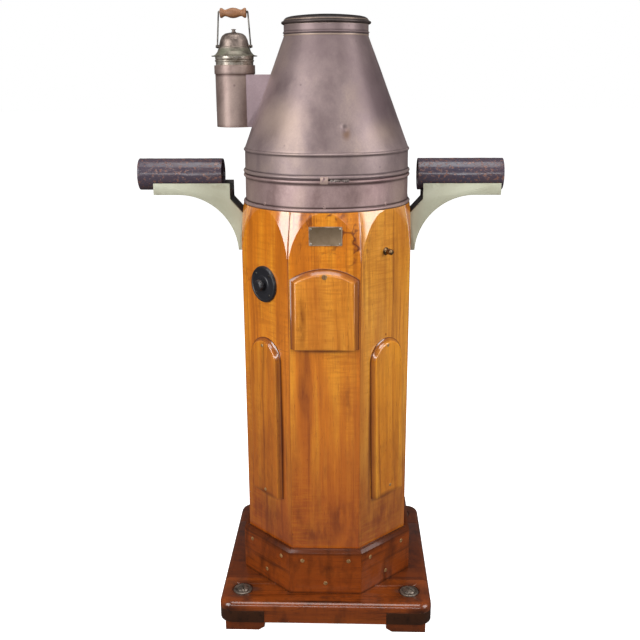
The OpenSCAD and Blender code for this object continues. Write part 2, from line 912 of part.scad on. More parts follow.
module verge_ring() {
    color("goldenrod") tube(bowl_r + 6, bowl_r - 6, bowl_rim, bowl_rim + 6);
}

module bowl_glass() {
    color([0.8, 0.9, 0.9, 0.4])
        translate([0, 0, bowl_rim - 3]) cylinder(r = bowl_r - bowl_wall - 0.1, h = 3);
}

module compass_card() {
    color("ivory")
        difference() {
            union() {
                translate([0, 0, card_z]) cylinder(r = card_r, h = card_t);
                translate([0, 0, card_z - 8]) cylinder(r = 10, h = 8 + eps);
                translate([0, 0, card_z + card_t]) cylinder(r1 = 8, r2 = 3, h = 5);
            }
            translate([0, 0, card_z - 8 - past]) cylinder(r = pivot_r + 1, h = 4 + past);
        }
}

module card_magnets() {
    color("dimgray")
        for (x = [-30, -16, 16, 30])
            translate([x - 3, -35, card_z - 6]) cube([6, 70, 6]);
}

// ---- correctors inside the column ----
module compass_shelf() {
    color([0.6, 0.38, 0.18])
        translate([0, 0, shelf_z])
            difference() {
                linear_extrude(shelf_t) octagon(inner_a);
                translate([0, 0, -past]) cylinder(r = tube_in_r, h = shelf_t + 2 * past);
                for (s = [-1, 1])
                    translate([s * rod_x, 0, -past]) cylinder(r = rod_r, h = 8 + past);
            }
}

module lower_shelf() {
    color([0.6, 0.38, 0.18])
        translate([0, 0, low_shelf_z])
            difference() {
                linear_extrude(shelf_t) octagon(inner_a);
                for (s = [-1, 1])
                    translate([s * rod_x, 0, shelf_t - 8]) cylinder(r = rod_r, h = 8 + past);
            }
}

module guide_rods() {
    z0 = low_shelf_z + shelf_t - 8;
    color("goldenrod")
        for (s = [-1, 1])
            translate([s * rod_x, 0, z0]) cylinder(r = rod_r, h = shelf_z + 8 - z0);
}

module heeling_tube() {
    color("goldenrod") {
        tube(tube_out_r, tube_in_r, shelf_z - heel_len, shelf_z);
        tube(tube_out_r + 10, tube_in_r, shelf_z - 4, shelf_z);
    }
}

module magnet_holes(r, len) {
    for (s = [-1, 1])
        for (d = [50, 68]) {
            bar_y(r, -len / 2, len / 2, s * d, carriage_z + 9);
            bar_x(r, -len / 2, len / 2, s * d, carriage_z - 9);
        }
}

module magnet_carriage() {
    color([0.55, 0.32, 0.15])
        difference() {
            translate([0, 0, carriage_z]) cube(carriage, center = true);
            translate([0, 0, carriage_z - carriage[2]]) cylinder(r = carriage_hole_r, h = 2 * carriage[2]);
            for (s = [-1, 1])
                translate([s * rod_x, 0, carriage_z - carriage[2]])
                    cylinder(r = rod_r + run, h = 2 * carriage[2]);
            magnet_holes(magnet_r, 2 * carriage[0]);
        }
}

module corrector_magnets() { color("firebrick") magnet_holes(magnet_r, magnet_len); }

module heeling_bucket() {
    color("darkgoldenrod")
        difference() {
            translate([0, 0, bucket_z]) cylinder(r = bucket_r, h = bucket_h);
            for (i = [0:2])
                rotate([0, 0, 120 * i])
                    translate([11, 0, bucket_z + 4]) cylinder(r = magnet_r, h = bucket_h);
        }
}

module heeling_magnets() {
    color("firebrick")
        for (i = [0:2])
            rotate([0, 0, 120 * i])
                translate([11, 0, bucket_z + 4]) cylinder(r = magnet_r, h = bucket_h - 2);
}

skids();
bearers();
base_board();
deck_bolt_caps();
skirting_boards();
skirting_screws();
front_stave();
front_left_stave();
front_right_stave();
left_stave();
right_stave();
rear_staves();
nameplate();
small_screws();
left_side_panel();
right_side_panel();
switch_base();
brass_peg();
seat_ring();
seat_ring_screws();
index_lug();
bracket_cheeks();
bracket_webs();
bracket_bolts();
gimbal_bearings();
compass_shelf();
lower_shelf();
guide_rods();
heeling_tube();
left_corrector_tube();
left_tube_clamp();
right_corrector_tube();
right_tube_clamp();
access_door();
door_lock();
hood_shell();
hood_collar();
lamp_pocket();
top_lid();
lamp_body();
lamp_window();
oil_fount();
burner();
lamp_cap();
bail_wire();
bail_grip();
wick();
wick_winder();
gimbal_ring();
compass_bowl();
verge_ring();
bowl_glass();
compass_card();
card_magnets();
switch_knob();
magnet_carriage();
corrector_magnets();
heeling_bucket();
heeling_magnets();
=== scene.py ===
import json
import math
import random

import bmesh
import bpy
from mathutils import Matrix, Vector, noise


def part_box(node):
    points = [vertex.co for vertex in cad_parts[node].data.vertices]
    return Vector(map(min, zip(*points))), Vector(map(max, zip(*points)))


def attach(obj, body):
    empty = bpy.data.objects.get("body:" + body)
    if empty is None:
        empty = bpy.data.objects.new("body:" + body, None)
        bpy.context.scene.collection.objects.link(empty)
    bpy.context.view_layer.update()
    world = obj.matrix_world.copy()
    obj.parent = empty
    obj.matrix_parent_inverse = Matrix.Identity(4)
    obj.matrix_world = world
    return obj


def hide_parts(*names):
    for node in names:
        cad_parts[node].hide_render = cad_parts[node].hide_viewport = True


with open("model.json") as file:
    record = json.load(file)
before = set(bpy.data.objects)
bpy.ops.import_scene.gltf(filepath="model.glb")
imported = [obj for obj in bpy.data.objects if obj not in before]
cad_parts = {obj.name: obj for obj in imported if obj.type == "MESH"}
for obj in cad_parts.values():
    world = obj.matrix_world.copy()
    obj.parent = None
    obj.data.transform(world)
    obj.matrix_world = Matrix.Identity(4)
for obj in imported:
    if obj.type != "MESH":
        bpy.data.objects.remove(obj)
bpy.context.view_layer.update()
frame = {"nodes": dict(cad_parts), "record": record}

# Ship's binnacle. Shapes are made in millimetres and turned into metres by MM.
MM = 0.001
TAN_HALF = math.tan(math.radians(22.5))


def low(node):
    return [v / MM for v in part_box(node)[0]]


def high(node):
    return [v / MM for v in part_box(node)[1]]


# ---------------------------------------------------------------- sizes from the frame
COL_A = -low("front_stave")[1]
STAVE_T = high("front_stave")[1] - low("front_stave")[1]
STAVE_TOP = high("front_stave")[2]
BOARD_TOP = high("base_board")[2]
BOARD_HALF = high("base_board")[0]
LEDGE = low("seat_ring")[2]
RING_TOP = high("seat_ring")[2]
SKIRT_A = -low("skirting_boards")[1]
SKIRT_TOP = high("skirting_boards")[2]
SKID_H = high("skids")[2]
BEARER_TOP = high("bearers")[2]
SKID_OUT = high("skids")[0]
COLLAR_TOP = high("hood_collar")[2]
CONE_TOP = low("hood_collar")[2]
LAMP_X = (low("lamp_body")[0] + high("lamp_body")[0]) / 2
LAMP_Z = low("lamp_body")[2]
LAMP_TOP = high("lamp_body")[2]
POCKET_Z = low("lamp_pocket")[2]
POCKET_TOP = high("lamp_pocket")[2]
TUBE_Z = (low("left_corrector_tube")[2] + high("left_corrector_tube")[2]) / 2
TUBE_R = (high("left_corrector_tube")[2] - low("left_corrector_tube")[2]) / 2
CAP_R = 22            # the frame's box runs round all four caps
BOLT_X = high("deck_bolt_caps")[0] - CAP_R
BOLT_Y = high("deck_bolt_caps")[1] - CAP_R

# sizes that the frame's boxes don't show
TURN_Z = 840
TURN_RADIUS = 579
CORNER_R = COL_A / math.cos(math.radians(22.5))
SEAT_R = 183.3
RING_R = 185
CORNER_PLAN_R = 32
PLANK_JOINT = 140
BEVEL_R = 13
SKID_IN = 142
HOOD_Z = RING_TOP + 1.3             # the hood sits just above the seat ring's bead
HOOD_CYL_TOP = HOOD_Z + 51.2
HOOD_TOP_R = 92.5
BOLT_HOLE_R = 6.5
BRACKET_BOLT_Z = (886, 932)
SWITCH_Z = 810
LOCK_Z = 841
CARD_Z = 1008
FAR = 400             # beyond every part of the base, for cutters


def turned_r(z):
    """Radius of the column's turned top at height z."""
    return CORNER_R + 0.5 - max(0, z - TURN_Z) ** 2 / (2 * TURN_RADIUS)


# ---------------------------------------------------------------- mesh helpers
def add_object(name, data):
    obj = bpy.data.objects.new(name, data)
    bpy.context.scene.collection.objects.link(obj)
    return obj


def build(name, verts, faces):
    """A mesh object from corners in millimetres, cleaned and with its faces turned outwards."""
    mesh = bpy.data.meshes.new(name)
    mesh.from_pydata([Vector(v) * MM for v in verts], [], faces)
    bm = bmesh.new()
    bm.from_mesh(mesh)
    bmesh.ops.remove_doubles(bm, verts=bm.verts, dist=2e-6)
    bmesh.ops.dissolve_degenerate(bm, edges=bm.edges, dist=2e-6)
    bmesh.ops.recalc_face_normals(bm, faces=bm.faces)
    bm.to_mesh(mesh)
    bm.free()
    return add_object(name, mesh)


def loft(name, rings, closed=True, caps=True):
    """Skins a list of rings with equal counts of points."""
    n = len(rings[0])
    verts = [p for ring in rings for p in ring]
    faces = []
    for k in range(len(rings) - 1):
        for i in range(n if closed else n - 1):
            j = (i + 1) % n
            faces.append((k * n + i, k * n + j, (k + 1) * n + j, (k + 1) * n + i))
    if caps:
        faces.append(tuple(range(n)))
        faces.append(tuple((len(rings) - 1) * n + i for i in range(n)))
    return build(name, verts, faces)


def lathe(name, profile, seg=160, centre=(0, 0), warp=None):
    """Turns a closed outline of (radius, height) about the vertical line through centre."""
    verts, rows = [], []
    for r, z in profile:
        if r < 1e-6:
            rows.append([len(verts)] * seg)
            verts.append((centre[0], centre[1], z))
            continue
        rows.append(list(range(len(verts), len(verts) + seg)))
        for i in range(seg):
            a = 2 * math.pi * i / seg
            rr, zz = warp(a, r, z) if warp else (r, z)
            verts.append((centre[0] + rr * math.cos(a), centre[1] + rr * math.sin(a), zz))
    faces = []
    for k, row in enumerate(rows):
        up = rows[(k + 1) % len(rows)]
        if row[0] == row[1] and up[0] == up[1]:
            continue
        for i in range(seg):
            j = (i + 1) % seg
            corners = [row[i], row[j], up[j], up[i]]
            faces.append(tuple(dict.fromkeys(corners)))
    return build(name, verts, faces)


def arc(cx, cz, r, a0, a1, n=8):
    """Points on an arc, in degrees."""
    steps = [math.radians(a0 + (a1 - a0) * i / n) for i in range(n + 1)]
    return [(cx + r * math.cos(a), cz + r * math.sin(a)) for a in steps]


def oval(x, z, width, height, degrees):
    """Points on an upright oval about (x, z), at the angles given."""
    turns = [math.radians(a) for a in degrees]
    return [(x + width * math.cos(a), z + height * math.sin(a)) for a in turns]


def rounded(points, n=4, closed=True):
    """An outline whose corners given as (x, z, radius) are rounded."""
    out = []
    count = len(points)
    for i, p in enumerate(points):
        if len(p) == 2 or (not closed and i in (0, count - 1)):
            out.append(tuple(p[:2]))
            continue
        c = Vector(p[:2])
        a = Vector(points[i - 1][:2]) - c
        b = Vector(points[(i + 1) % count][:2]) - c
        turn = a.angle(b)
        cut_back = min(p[2] / math.tan(turn / 2), a.length * 0.49, b.length * 0.49)
        r = cut_back * math.tan(turn / 2)
        a.normalize()
        b.normalize()
        mid = c + (a + b).normalized() * (r / math.sin(turn / 2))
        start, end = c + a * cut_back - mid, c + b * cut_back - mid
        sweep_angle = start.angle_signed(end)
        for k in range(n + 1):
            s = start.copy()
            s.rotate(Matrix.Rotation(-sweep_angle * k / n, 2))
            out.append(tuple(mid + s))
    return out


def fill_line(p, q, step):
    """Points from p up to but not at q, no further apart than step."""
    n = max(1, math.ceil((Vector(q) - Vector(p)).length / step))
    return [tuple(Vector(p).lerp(Vector(q), i / n)) for i in range(n)]


def dense(points, step, closed=True):
    """The same outline with its long sides divided."""
    out = []
    pairs = list(zip(points, points[1:] + points[:1])) if closed else list(zip(points, points[1:]))
    for p, q in pairs:
        out += fill_line(p, q, step)
    return out if closed else out + [points[-1]]


def plate(name, outline, y0, y1):
    """A flat plate: an outline in X and Z, from y0 to y1."""
    return loft(name, [[(x, y, z) for x, z in outline] for y in (y0, y1)])


def block(name, lo, hi):
    outline = [(lo[0], lo[2]), (hi[0], lo[2]), (hi[0], hi[2]), (lo[0], hi[2])]
    return plate(name, outline, lo[1], hi[1])


def drum(name, r, z0, z1, centre=(0, 0), seg=48):
    return lathe(name, [(0, z0), (r, z0), (r, z1), (0, z1)], seg, centre)


def sweep(name, path, radius, seg=12):
    """A round wire along a path."""
    pts = [Vector(p) for p in path]
    rings, side = [], None
    for i, p in enumerate(pts):
        ahead = (pts[min(i + 1, len(pts) - 1)] - pts[max(i - 1, 0)]).normalized()
        if side is None:
            side = ahead.orthogonal().normalized()
        side = (side - ahead * side.dot(ahead)).normalized()
        other = ahead.cross(side)
        ring = []
        for k in range(seg):
            a = 2 * math.pi * k / seg
            ring.append(tuple(p + (side * math.cos(a) + other * math.sin(a)) * radius))
        rings.append(ring)
    return loft(name, rings)


def bake_modifiers(obj):
    shown = obj.evaluated_get(bpy.context.evaluated_depsgraph_get())
    mesh = bpy.data.meshes.new_from_object(shown)
    old = obj.data
    obj.modifiers.clear()
    obj.data = mesh
    bpy.data.meshes.remove(old)
    return obj


def cut(obj, *cutters, operation="DIFFERENCE"):
    """Cuts with, or adds, other solids and removes them."""
    for cutter in cutters:
        mod = obj.modifiers.new("cut", "BOOLEAN")
        mod.operation = operation
        mod.solver = "EXACT"
        mod.object = cutter
    bake_modifiers(obj)
    for cutter in cutters:
        bpy.data.objects.remove(cutter)
    return obj


def soften(obj, width, segments=2, angle=30):
    """Rounds the sharp edges by width millimetres."""
    mod = obj.modifiers.new("bevel", "BEVEL")
    mod.width = width * MM
    mod.segments = segments
    mod.limit_method = "ANGLE"
    mod.angle_limit = math.radians(angle)
    return bake_modifiers(obj)


def place(obj, matrix):
    """Moves the mesh itself, so that the object stays at the origin. The shift is in millimetres."""
    m = matrix.copy()
    m.translation = m.translation * MM
    obj.data.transform(m)
    obj.data.update()
    return obj


def copy_of(obj, matrix):
    return place(add_object(obj.name, obj.data.copy()), matrix)


def join(name, objs):
    objs[0].name = name
    if len(objs) > 1:
        with bpy.context.temp_override(active_object=objs[0], selected_editable_objects=objs):
            bpy.ops.object.join()
    return objs[0]


def two_tone(obj, first, second, is_second):
    """Gives a mesh two materials; is_second picks the faces of the other one."""
    obj.data.materials.append(first)
    obj.data.materials.append(second)
    for f in obj.data.polygons:
        f.material_index = 1 if is_second(f) else 0
    return obj


def turn_z(degrees):
    return Matrix.Rotation(math.radians(degrees), 4, "Z")


def shift(x, y, z):
    return Matrix.Translation((x, y, z))


def on_face(k):
    """Turns a piece made at the front to face k, counted to the right."""
    return turn_z(45 * k)


UPRIGHT = Matrix.Rotation(math.radians(90), 4, "X")    # +Z becomes -Y, out of the front face
ALONG_X = Matrix.Rotation(math.radians(90), 4, "Y")    # +Z becomes +X


def along_x(side):
    """+Z becomes +X for side 1, and -X for side -1."""
    return ALONG_X if side > 0 else ALONG_X.inverted()


def set_on_face(obj, k, across, up):
    """Stands a piece made on the Z axis out of face k of the column."""
    place(obj, shift(across, -COL_A, up) @ UPRIGHT)
    return place(obj, on_face(k))


def layer_of(obj, name, kind="FLOAT"):
    """A mesh's layer of values at its corners, made when it isn't there."""
    return obj.data.attributes.get(name) or obj.data.attributes.new(name, kind, "POINT")


def shade(obj, crease=30):
    """Smooth shading with sharp edges, and a bend attribute: above 0 in hollows, below 0 on edges."""
    bm = bmesh.new()
    bm.from_mesh(obj.data)
    limit = math.radians(crease)
    for f in bm.faces:
        f.smooth = True
    for e in bm.edges:
        e.smooth = e.calc_face_angle(math.pi) < limit
    bm.normal_update()
    bend = []
    for v in bm.verts:
        total = 0.0
        for e in v.link_edges:
            ray = e.other_vert(v).co - v.co
            if ray.length > 1e-9:
                total += ray.normalized().dot(v.normal)
        bend.append(total / max(1, len(v.link_edges)))
    bm.to_mesh(obj.data)
    bm.free()
    layer_of(obj, "bend").data.foreach_set("value", bend)


def grain(obj, along, across, seed):
    """Stores a board's own coordinates: along the grain, across it and through it, in metres."""
    a, b = Vector(along).normalized(), Vector(across).normalized()
    c = a.cross(b)
    jump = Vector((1.37, 2.71, 0.53)) * seed
    values = []
    for v in obj.data.vertices:
        values += [v.co.dot(a) + jump[0], v.co.dot(b) + jump[1], v.co.dot(c) + jump[2]]
    layer_of(obj, "grain", "FLOAT_VECTOR").data.foreach_set("vector", values)
    return obj


def upright_grain(obj, seed):
    return grain(obj, (0, 0, 1), (1, 0, 0), seed)


def tag(obj, name, value_at):
    """Stores a number at each corner, worked out from its place in millimetres."""
    layer_of(obj, name).data.foreach_set("value", [value_at(v.co / MM) for v in obj.data.vertices])
    return obj


def piece(obj, body, slot, materials, *nodes, crease=30):
    """Finishes a piece: its materials, shading, body and the CAD nodes it stands for."""
    if not isinstance(materials, (list, tuple)):
        materials = [materials]
    if len(obj.data.materials) == 0:
        for m in materials:
            obj.data.materials.append(m)
    shade(obj, crease)
    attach(obj, body)
    if nodes:
        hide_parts(*nodes)
    return obj


# ---------------------------------------------------------------- material helpers
COAT_IOR = 1.9        # thick old varnish
BLACK = (0, 0, 0, 1)


def srgb(r, g, b):
    """A colour from its 0 to 255 values; the material functions take theirs as such triples."""
    def lin(c):
        c /= 255
        return c / 12.92 if c <= 0.04045 else ((c + 0.055) / 1.055) ** 2.4
    return (lin(r), lin(g), lin(b), 1.0)


class Graph:
    """Builds a node material in few words. Inputs take numbers, colours or other nodes' outputs."""

    def __init__(self, name):
        self.material = bpy.data.materials.new(name)
        self.material.use_nodes = True
        self.tree = self.material.node_tree
        self.tree.nodes.clear()
        self.out = self.tree.nodes.new("ShaderNodeOutputMaterial")
        self.shader = self.tree.nodes.new("ShaderNodeBsdfPrincipled")
        self.tree.links.new(self.shader.outputs[0], self.out.inputs[0])

    def feed(self, socket, value):
        if isinstance(value, bpy.types.NodeSocket):
            self.tree.links.new(value, socket)
        elif hasattr(socket.default_value, "__len__") and not hasattr(value, "__len__"):
            socket.default_value = [value] * len(socket.default_value)
        else:
            socket.default_value = value

    def node(self, kind, settings=None, **inputs):
        n = self.tree.nodes.new(kind)
        for key, value in (settings or {}).items():
            setattr(n, key, value)
        for key, value in inputs.items():
            self.feed(n.inputs[key.replace("_", " ")], value)
        return n

    def place(self):
        return self.node("ShaderNodeTexCoord").outputs["Object"]

    def attribute(self, name, kind="Fac"):
        return self.node("ShaderNodeAttribute", {"attribute_name": name}).outputs[kind]

    def vector_math(self, operation, a, b):
        n = self.node("ShaderNodeVectorMath", {"operation": operation})
        self.feed(n.inputs[0], a)
        self.feed(n.inputs[1], b)
        return n

    def scaled(self, vector, scale):
        return self.vector_math("MULTIPLY", vector, scale).outputs[0]

    def shifted(self, vector, offset):
        return self.vector_math("ADD", vector, offset).outputs[0]

    def noise(self, vector, scale=1.0, detail=4.0, rough=0.55, warp=0.0):
        """Noise at one scale, or at a scale for each axis."""
        if isinstance(scale, tuple):
            vector, scale = self.scaled(vector, scale), 1.0
        n = self.node("ShaderNodeTexNoise", None, Vector=vector, Scale=scale, Detail=detail,
                      Roughness=rough, Distortion=warp)
        return n.outputs["Fac"]

    def spots(self, vector, scale):
        n = self.node("ShaderNodeTexVoronoi", None, Vector=vector, Scale=scale)
        return n.outputs["Distance"], n.outputs["Color"]

    def spot(self, vector, centre, radii):
        """1 at the centre of an ellipsoid given in metres, falling to 0 at its skin."""
        away = self.shifted(vector, tuple(-c for c in centre))
        n = self.node("ShaderNodeVectorMath", {"operation": "LENGTH"})
        self.feed(n.inputs[0], self.scaled(away, tuple(1 / r for r in radii)))
        return self.band(n.outputs["Value"], 0.25, 1.0, 1.0, 0.0)

    def band(self, value, lo, hi, out_lo=0.0, out_hi=1.0):
        """Maps lo..hi to out_lo..out_hi and holds the ends."""
        n = self.node("ShaderNodeMapRange", {"clamp": True})
        for key, v in (("Value", value), ("From Min", lo), ("From Max", hi),
                       ("To Min", out_lo), ("To Max", out_hi)):
            self.feed(n.inputs[key], v)
        return n.outputs["Result"]

    def math(self, operation, a, b=0.0):
        n = self.node("ShaderNodeMath", {"operation": operation})
        self.feed(n.inputs[0], a)
        self.feed(n.inputs[1], b)
        return n.outputs[0]

    def times(self, a, b):
        return self.math("MULTIPLY", a, b)

    def mix(self, factor, a, b, blend="MIX"):
        n = self.node("ShaderNodeMix", {"data_type": "RGBA", "blend_type": blend})
        self.feed(n.inputs[0], factor)
        self.feed(n.inputs[6], a)
        self.feed(n.inputs[7], b)
        return n.outputs[2]

    def ramp(self, value, *stops):
        n = self.tree.nodes.new("ShaderNodeValToRGB")
        while len(n.color_ramp.elements) < len(stops):
            n.color_ramp.elements.new(0.5)
        for element, (at, colour) in zip(n.color_ramp.elements, stops):
            element.position = at
            element.color = colour
        self.feed(n.inputs[0], value)
        return n.outputs[0]

    @staticmethod
    def blend(a, b, amount):
        return tuple(x + (y - x) * amount for x, y in zip(a, b))

    def axis(self, vector, index):
        n = self.node("ShaderNodeSeparateXYZ", None, Vector=vector)
        return n.outputs[index]

    def bump(self, height, strength, distance, below=None):
        n = self.node("ShaderNodeBump", None, Height=height, Strength=strength, Distance=distance)
        if below is not None:
            self.feed(n.inputs["Normal"], below)
        return n.outputs[0]

    def surface(self, **inputs):
        for key, value in inputs.items():
            self.feed(self.shader.inputs[key.replace("_", " ")], value)
        return self.material


def hairlines(g, vector, scale, width):
    """Thin curved scratches: where a noise crosses its middle value."""
    n = g.noise(vector, scale, 2.0, 0.5, 0.4)
    off = g.math("ABSOLUTE", g.math("SUBTRACT", n, 0.5))
    return g.band(off, 0.0, width, 1.0, 0.0)


def varnished(name, pale, middle, deep, foot, coat=0.6, stains=(), scars=(), shade_and_dirt_spots=()):
    """Old glossy varnish over straight-grained timber; deep is for dirt and painted shade, foot for the low
    end.

    Stains, scars and the spots of painted shadow and dirt are (centre, radii) spots in metres."""
    pale, middle, deep, foot = (srgb(*c) for c in (pale, middle, deep, foot))
    g = Graph(name)
    v = g.attribute("grain", "Vector")
    world = g.place()
    wander = g.scaled(v, (1.5, 5, 5))
    drift = g.node("ShaderNodeTexNoise", None, Vector=wander, Scale=1.0, Detail=2.0).outputs["Color"]
    v2 = g.shifted(v, g.scaled(drift, (0, 0.035, 0.035)))
    rings = g.noise(v2, (1.1, 26, 26), 5.0, 0.62)
    fibre = g.noise(v2, (9, 420, 420), 4.0, 0.65)
    curl = g.noise(v, (150, 17, 17), 3.0, 0.5, 0.6)
    patch = g.noise(v, (3.2, 8, 8), 3.0, 0.5)
    base = g.ramp(rings, (0.30, g.blend(middle, deep, 0.6)), (0.48, middle), (0.62, pale))
    base = g.mix(g.band(patch, 0.36, 0.66, 0.0, 0.35), base, middle)
    # the timber is redder and darker towards the floor
    height = g.axis(world, 2)
    sag = g.noise(world, (16, 16, 4), 4.0, 0.6)
    low_end = g.math("ADD", height, g.band(sag, 0.25, 0.75, -0.14, 0.14))
    base = g.mix(g.band(low_end, 0.16, 0.66, 0.9, 0.0), base, foot)
    base = g.mix(g.band(fibre, 0.36, 0.66, 0.2, 0.0), base, deep)
    curly = g.times(g.band(curl, 0.44, 0.6), g.band(patch, 0.4, 0.62, 0.1, 0.6))
    base = g.mix(curly, base, g.blend(middle, deep, 0.38))
    # short dark pores and long dark streaks
    pores = g.noise(v, (45, 700, 700), 2.0, 0.5)
    base = g.mix(g.band(pores, 0.64, 0.7, 0.0, 0.6), base, deep)
    streak = g.noise(v2, (2.2, 80, 80), 4.0, 0.66)
    base = g.mix(g.band(streak, 0.54, 0.7, 0.0, 0.62), base, deep)
    red = g.noise(v2, (2.4, 20, 20), 4.0, 0.6)
    base = g.mix(g.band(red, 0.5, 0.7, 0.0, 0.5), base, g.blend(middle, foot, 0.75))
    cloud = g.noise(world, (30, 30, 12), 4.0, 0.6)
    dark_low = g.times(g.band(cloud, 0.48, 0.72), g.band(height, 0.2, 0.55, 0.7, 0.16))
    base = g.mix(dark_low, base, deep)
    for centre, radii in stains:
        torn = g.band(g.noise(v, (18, 60, 60)), 0.3, 0.6)
        ragged = g.times(g.spot(world, centre, radii), torn)
        base = g.mix(g.times(ragged, 0.8), base, deep)
    # painted shadow and dirt: dark spots at the feet and sides of the door and panels, and round the base's
    # bolt caps
    for centre, radii in shade_and_dirt_spots:
        darkened = g.times(g.spot(world, centre, radii), 0.85)
        base = g.mix(darkened, base, g.blend(deep, BLACK, 0.4))
    # dents and scratches
    near, tint = g.spots(v, 26)
    chosen = g.band(g.axis(tint, 0), 0.86, 0.9)
    base = g.mix(g.times(g.band(near, 0.03, 0.1, 0.75, 0.0), chosen), base, deep)
    lines = hairlines(g, g.scaled(v, (1.0, 1.4, 1.4)), 7.0, 0.0035)
    lines = g.times(lines, g.band(g.noise(v, 9.0, 2.0), 0.56, 0.66))
    for centre, radii in scars:
        loops = hairlines(g, g.scaled(world, (1.0, 1.0, 0.8)), 30.0, 0.05)
        broken = g.band(g.noise(world, 40.0, 2.0), 0.42, 0.5)
        loops = g.times(g.times(loops, broken), g.spot(world, centre, radii))
        base = g.mix(g.times(loops, 0.95), base, srgb(84, 32, 20))
        scuff = g.band(g.noise(world, (70, 70, 40), 5.0, 0.7), 0.58, 0.66)
        scuff = g.times(scuff, g.spot(world, centre, radii))
        base = g.mix(g.times(scuff, 0.7), base, srgb(116, 52, 36))
    base = g.mix(g.times(lines, 0.5), base, deep)
    # dirt and painted shade in hollows, wear on edges
    bend = g.attribute("bend")
    base = g.mix(g.band(bend, 0.03, 0.25, 0.0, 0.8), base, deep)
    base = g.mix(g.band(bend, -0.3, -0.12, 0.12, 0.0), base, pale)
    # darker where the shade tag is set: dirt and painted shade in the mouldings and on the skirting's top,
    # dark joints between the staves; near black in the moulding's outer hollow, a painted shadow line
    dirt_and_shade_tag = g.attribute("shade")
    base = g.mix(g.times(dirt_and_shade_tag, 0.92), base, deep)
    base = g.mix(g.band(dirt_and_shade_tag, 0.85, 1.0, 0.0, 0.6), base, srgb(30, 14, 8))
    relief = g.bump(g.math("ADD", rings, g.times(fibre, 0.25)), 0.10, 0.0012)
    relief = g.bump(curl, 0.08, 0.0015, relief)
    relief = g.bump(g.times(lines, -1.0), 0.5, 0.0004, relief)
    gloss = g.band(g.noise(v, (9, 22, 22), 4.0), 0.3, 0.75, 0.28, 0.44)
    return g.surface(Base_Color=base, Roughness=gloss, Normal=relief, Specular_IOR_Level=0.15,
                     Coat_Weight=coat, Coat_Roughness=0.13, Coat_IOR=COAT_IOR)


def copper(name, pale, middle, dark, metal=0.5, patches=(), edges=1.0):
    """Old sheet copper gone brown and mauve, brighter where hands have rubbed it, with painted highlights on
    its edges.

    Patches are (centre, radii, colour, strength) spots in metres; some of them are painted shade and painted
    glow."""
    pale, middle, dark = (srgb(*c) for c in (pale, middle, dark))
    g = Graph(name)
    v = g.place()
    cloud = g.noise(v, (8, 8, 6), 5.0, 0.62, 0.15)
    run = g.noise(v, (42, 42, 4), 4.0, 0.6)
    fine = g.noise(v, 260.0, 4.0, 0.6)
    base = g.ramp(cloud, (0.3, dark), (0.5, middle), (0.72, pale))
    base = g.mix(g.band(run, 0.42, 0.72, 0.0, 0.5), base, middle)
    base = g.mix(g.band(fine, 0.3, 0.7, 0.22, 0.0), base, dark)
    near, tint = g.spots(v, 60)
    chosen = g.band(g.axis(tint, 0), 0.9, 0.94)
    base = g.mix(g.times(g.band(near, 0.05, 0.2, 0.8, 0.0), chosen), base, dark)
    for centre, radii, colour, strength in patches:
        amount = g.band(cloud, 0.2, 0.8, 0.55 * strength, strength)
        base = g.mix(g.times(g.spot(v, centre, radii), amount), base, srgb(*colour))
    bend = g.attribute("bend")
    # darker in hollows: oxide and painted shade
    base = g.mix(g.band(bend, 0.02, 0.2, 0.0, 0.9 * edges), base, g.blend(dark, BLACK, 0.55))
    # lighter on edges: rubbed metal and a painted highlight
    rub_and_highlight = g.band(bend, -0.32, -0.1, 0.7 * edges, 0.0)
    base = g.mix(rub_and_highlight, base, srgb(196, 172, 150))
    base = g.mix(g.attribute("shade"), base, dark)
    gloss = g.band(g.noise(v, (16, 16, 12), 5.0, 0.65), 0.3, 0.72, 0.36, 0.52)
    relief = g.bump(g.noise(v, 34.0, 3.0), 0.14, 0.002)
    relief = g.bump(fine, 0.06, 0.0006, relief)
    return g.surface(Base_Color=base, Metallic=metal, Roughness=gloss, Normal=relief)


def old_metal(name, bright, dull, dirt_and_shade, rough=(0.28, 0.5), metal=1.0):
    """Brass or steel fittings: dull, with dirt and painted shade in the hollows and bright edges."""
    bright, dull, dirt_and_shade = (srgb(*c) for c in (bright, dull, dirt_and_shade))
    g = Graph(name)
    v = g.place()
    cloud = g.noise(v, 55.0, 5.0, 0.65, 0.5)
    fine = g.noise(v, 420.0, 3.0, 0.6)
    bend = g.attribute("bend")
    base = g.ramp(cloud, (0.34, dirt_and_shade), (0.5, dull), (0.7, bright))
    base = g.mix(g.band(bend, -0.4, -0.1, 0.8, 0.0), base, bright)
    # darker in hollows: dirt and painted shade
    base = g.mix(g.band(bend, 0.03, 0.2, 0.0, 0.9), base, dirt_and_shade)
    gloss = g.band(cloud, 0.35, 0.7, rough[1], rough[0])
    return g.surface(Base_Color=base, Metallic=metal, Roughness=gloss, Normal=g.bump(fine, 0.12, 0.0004))


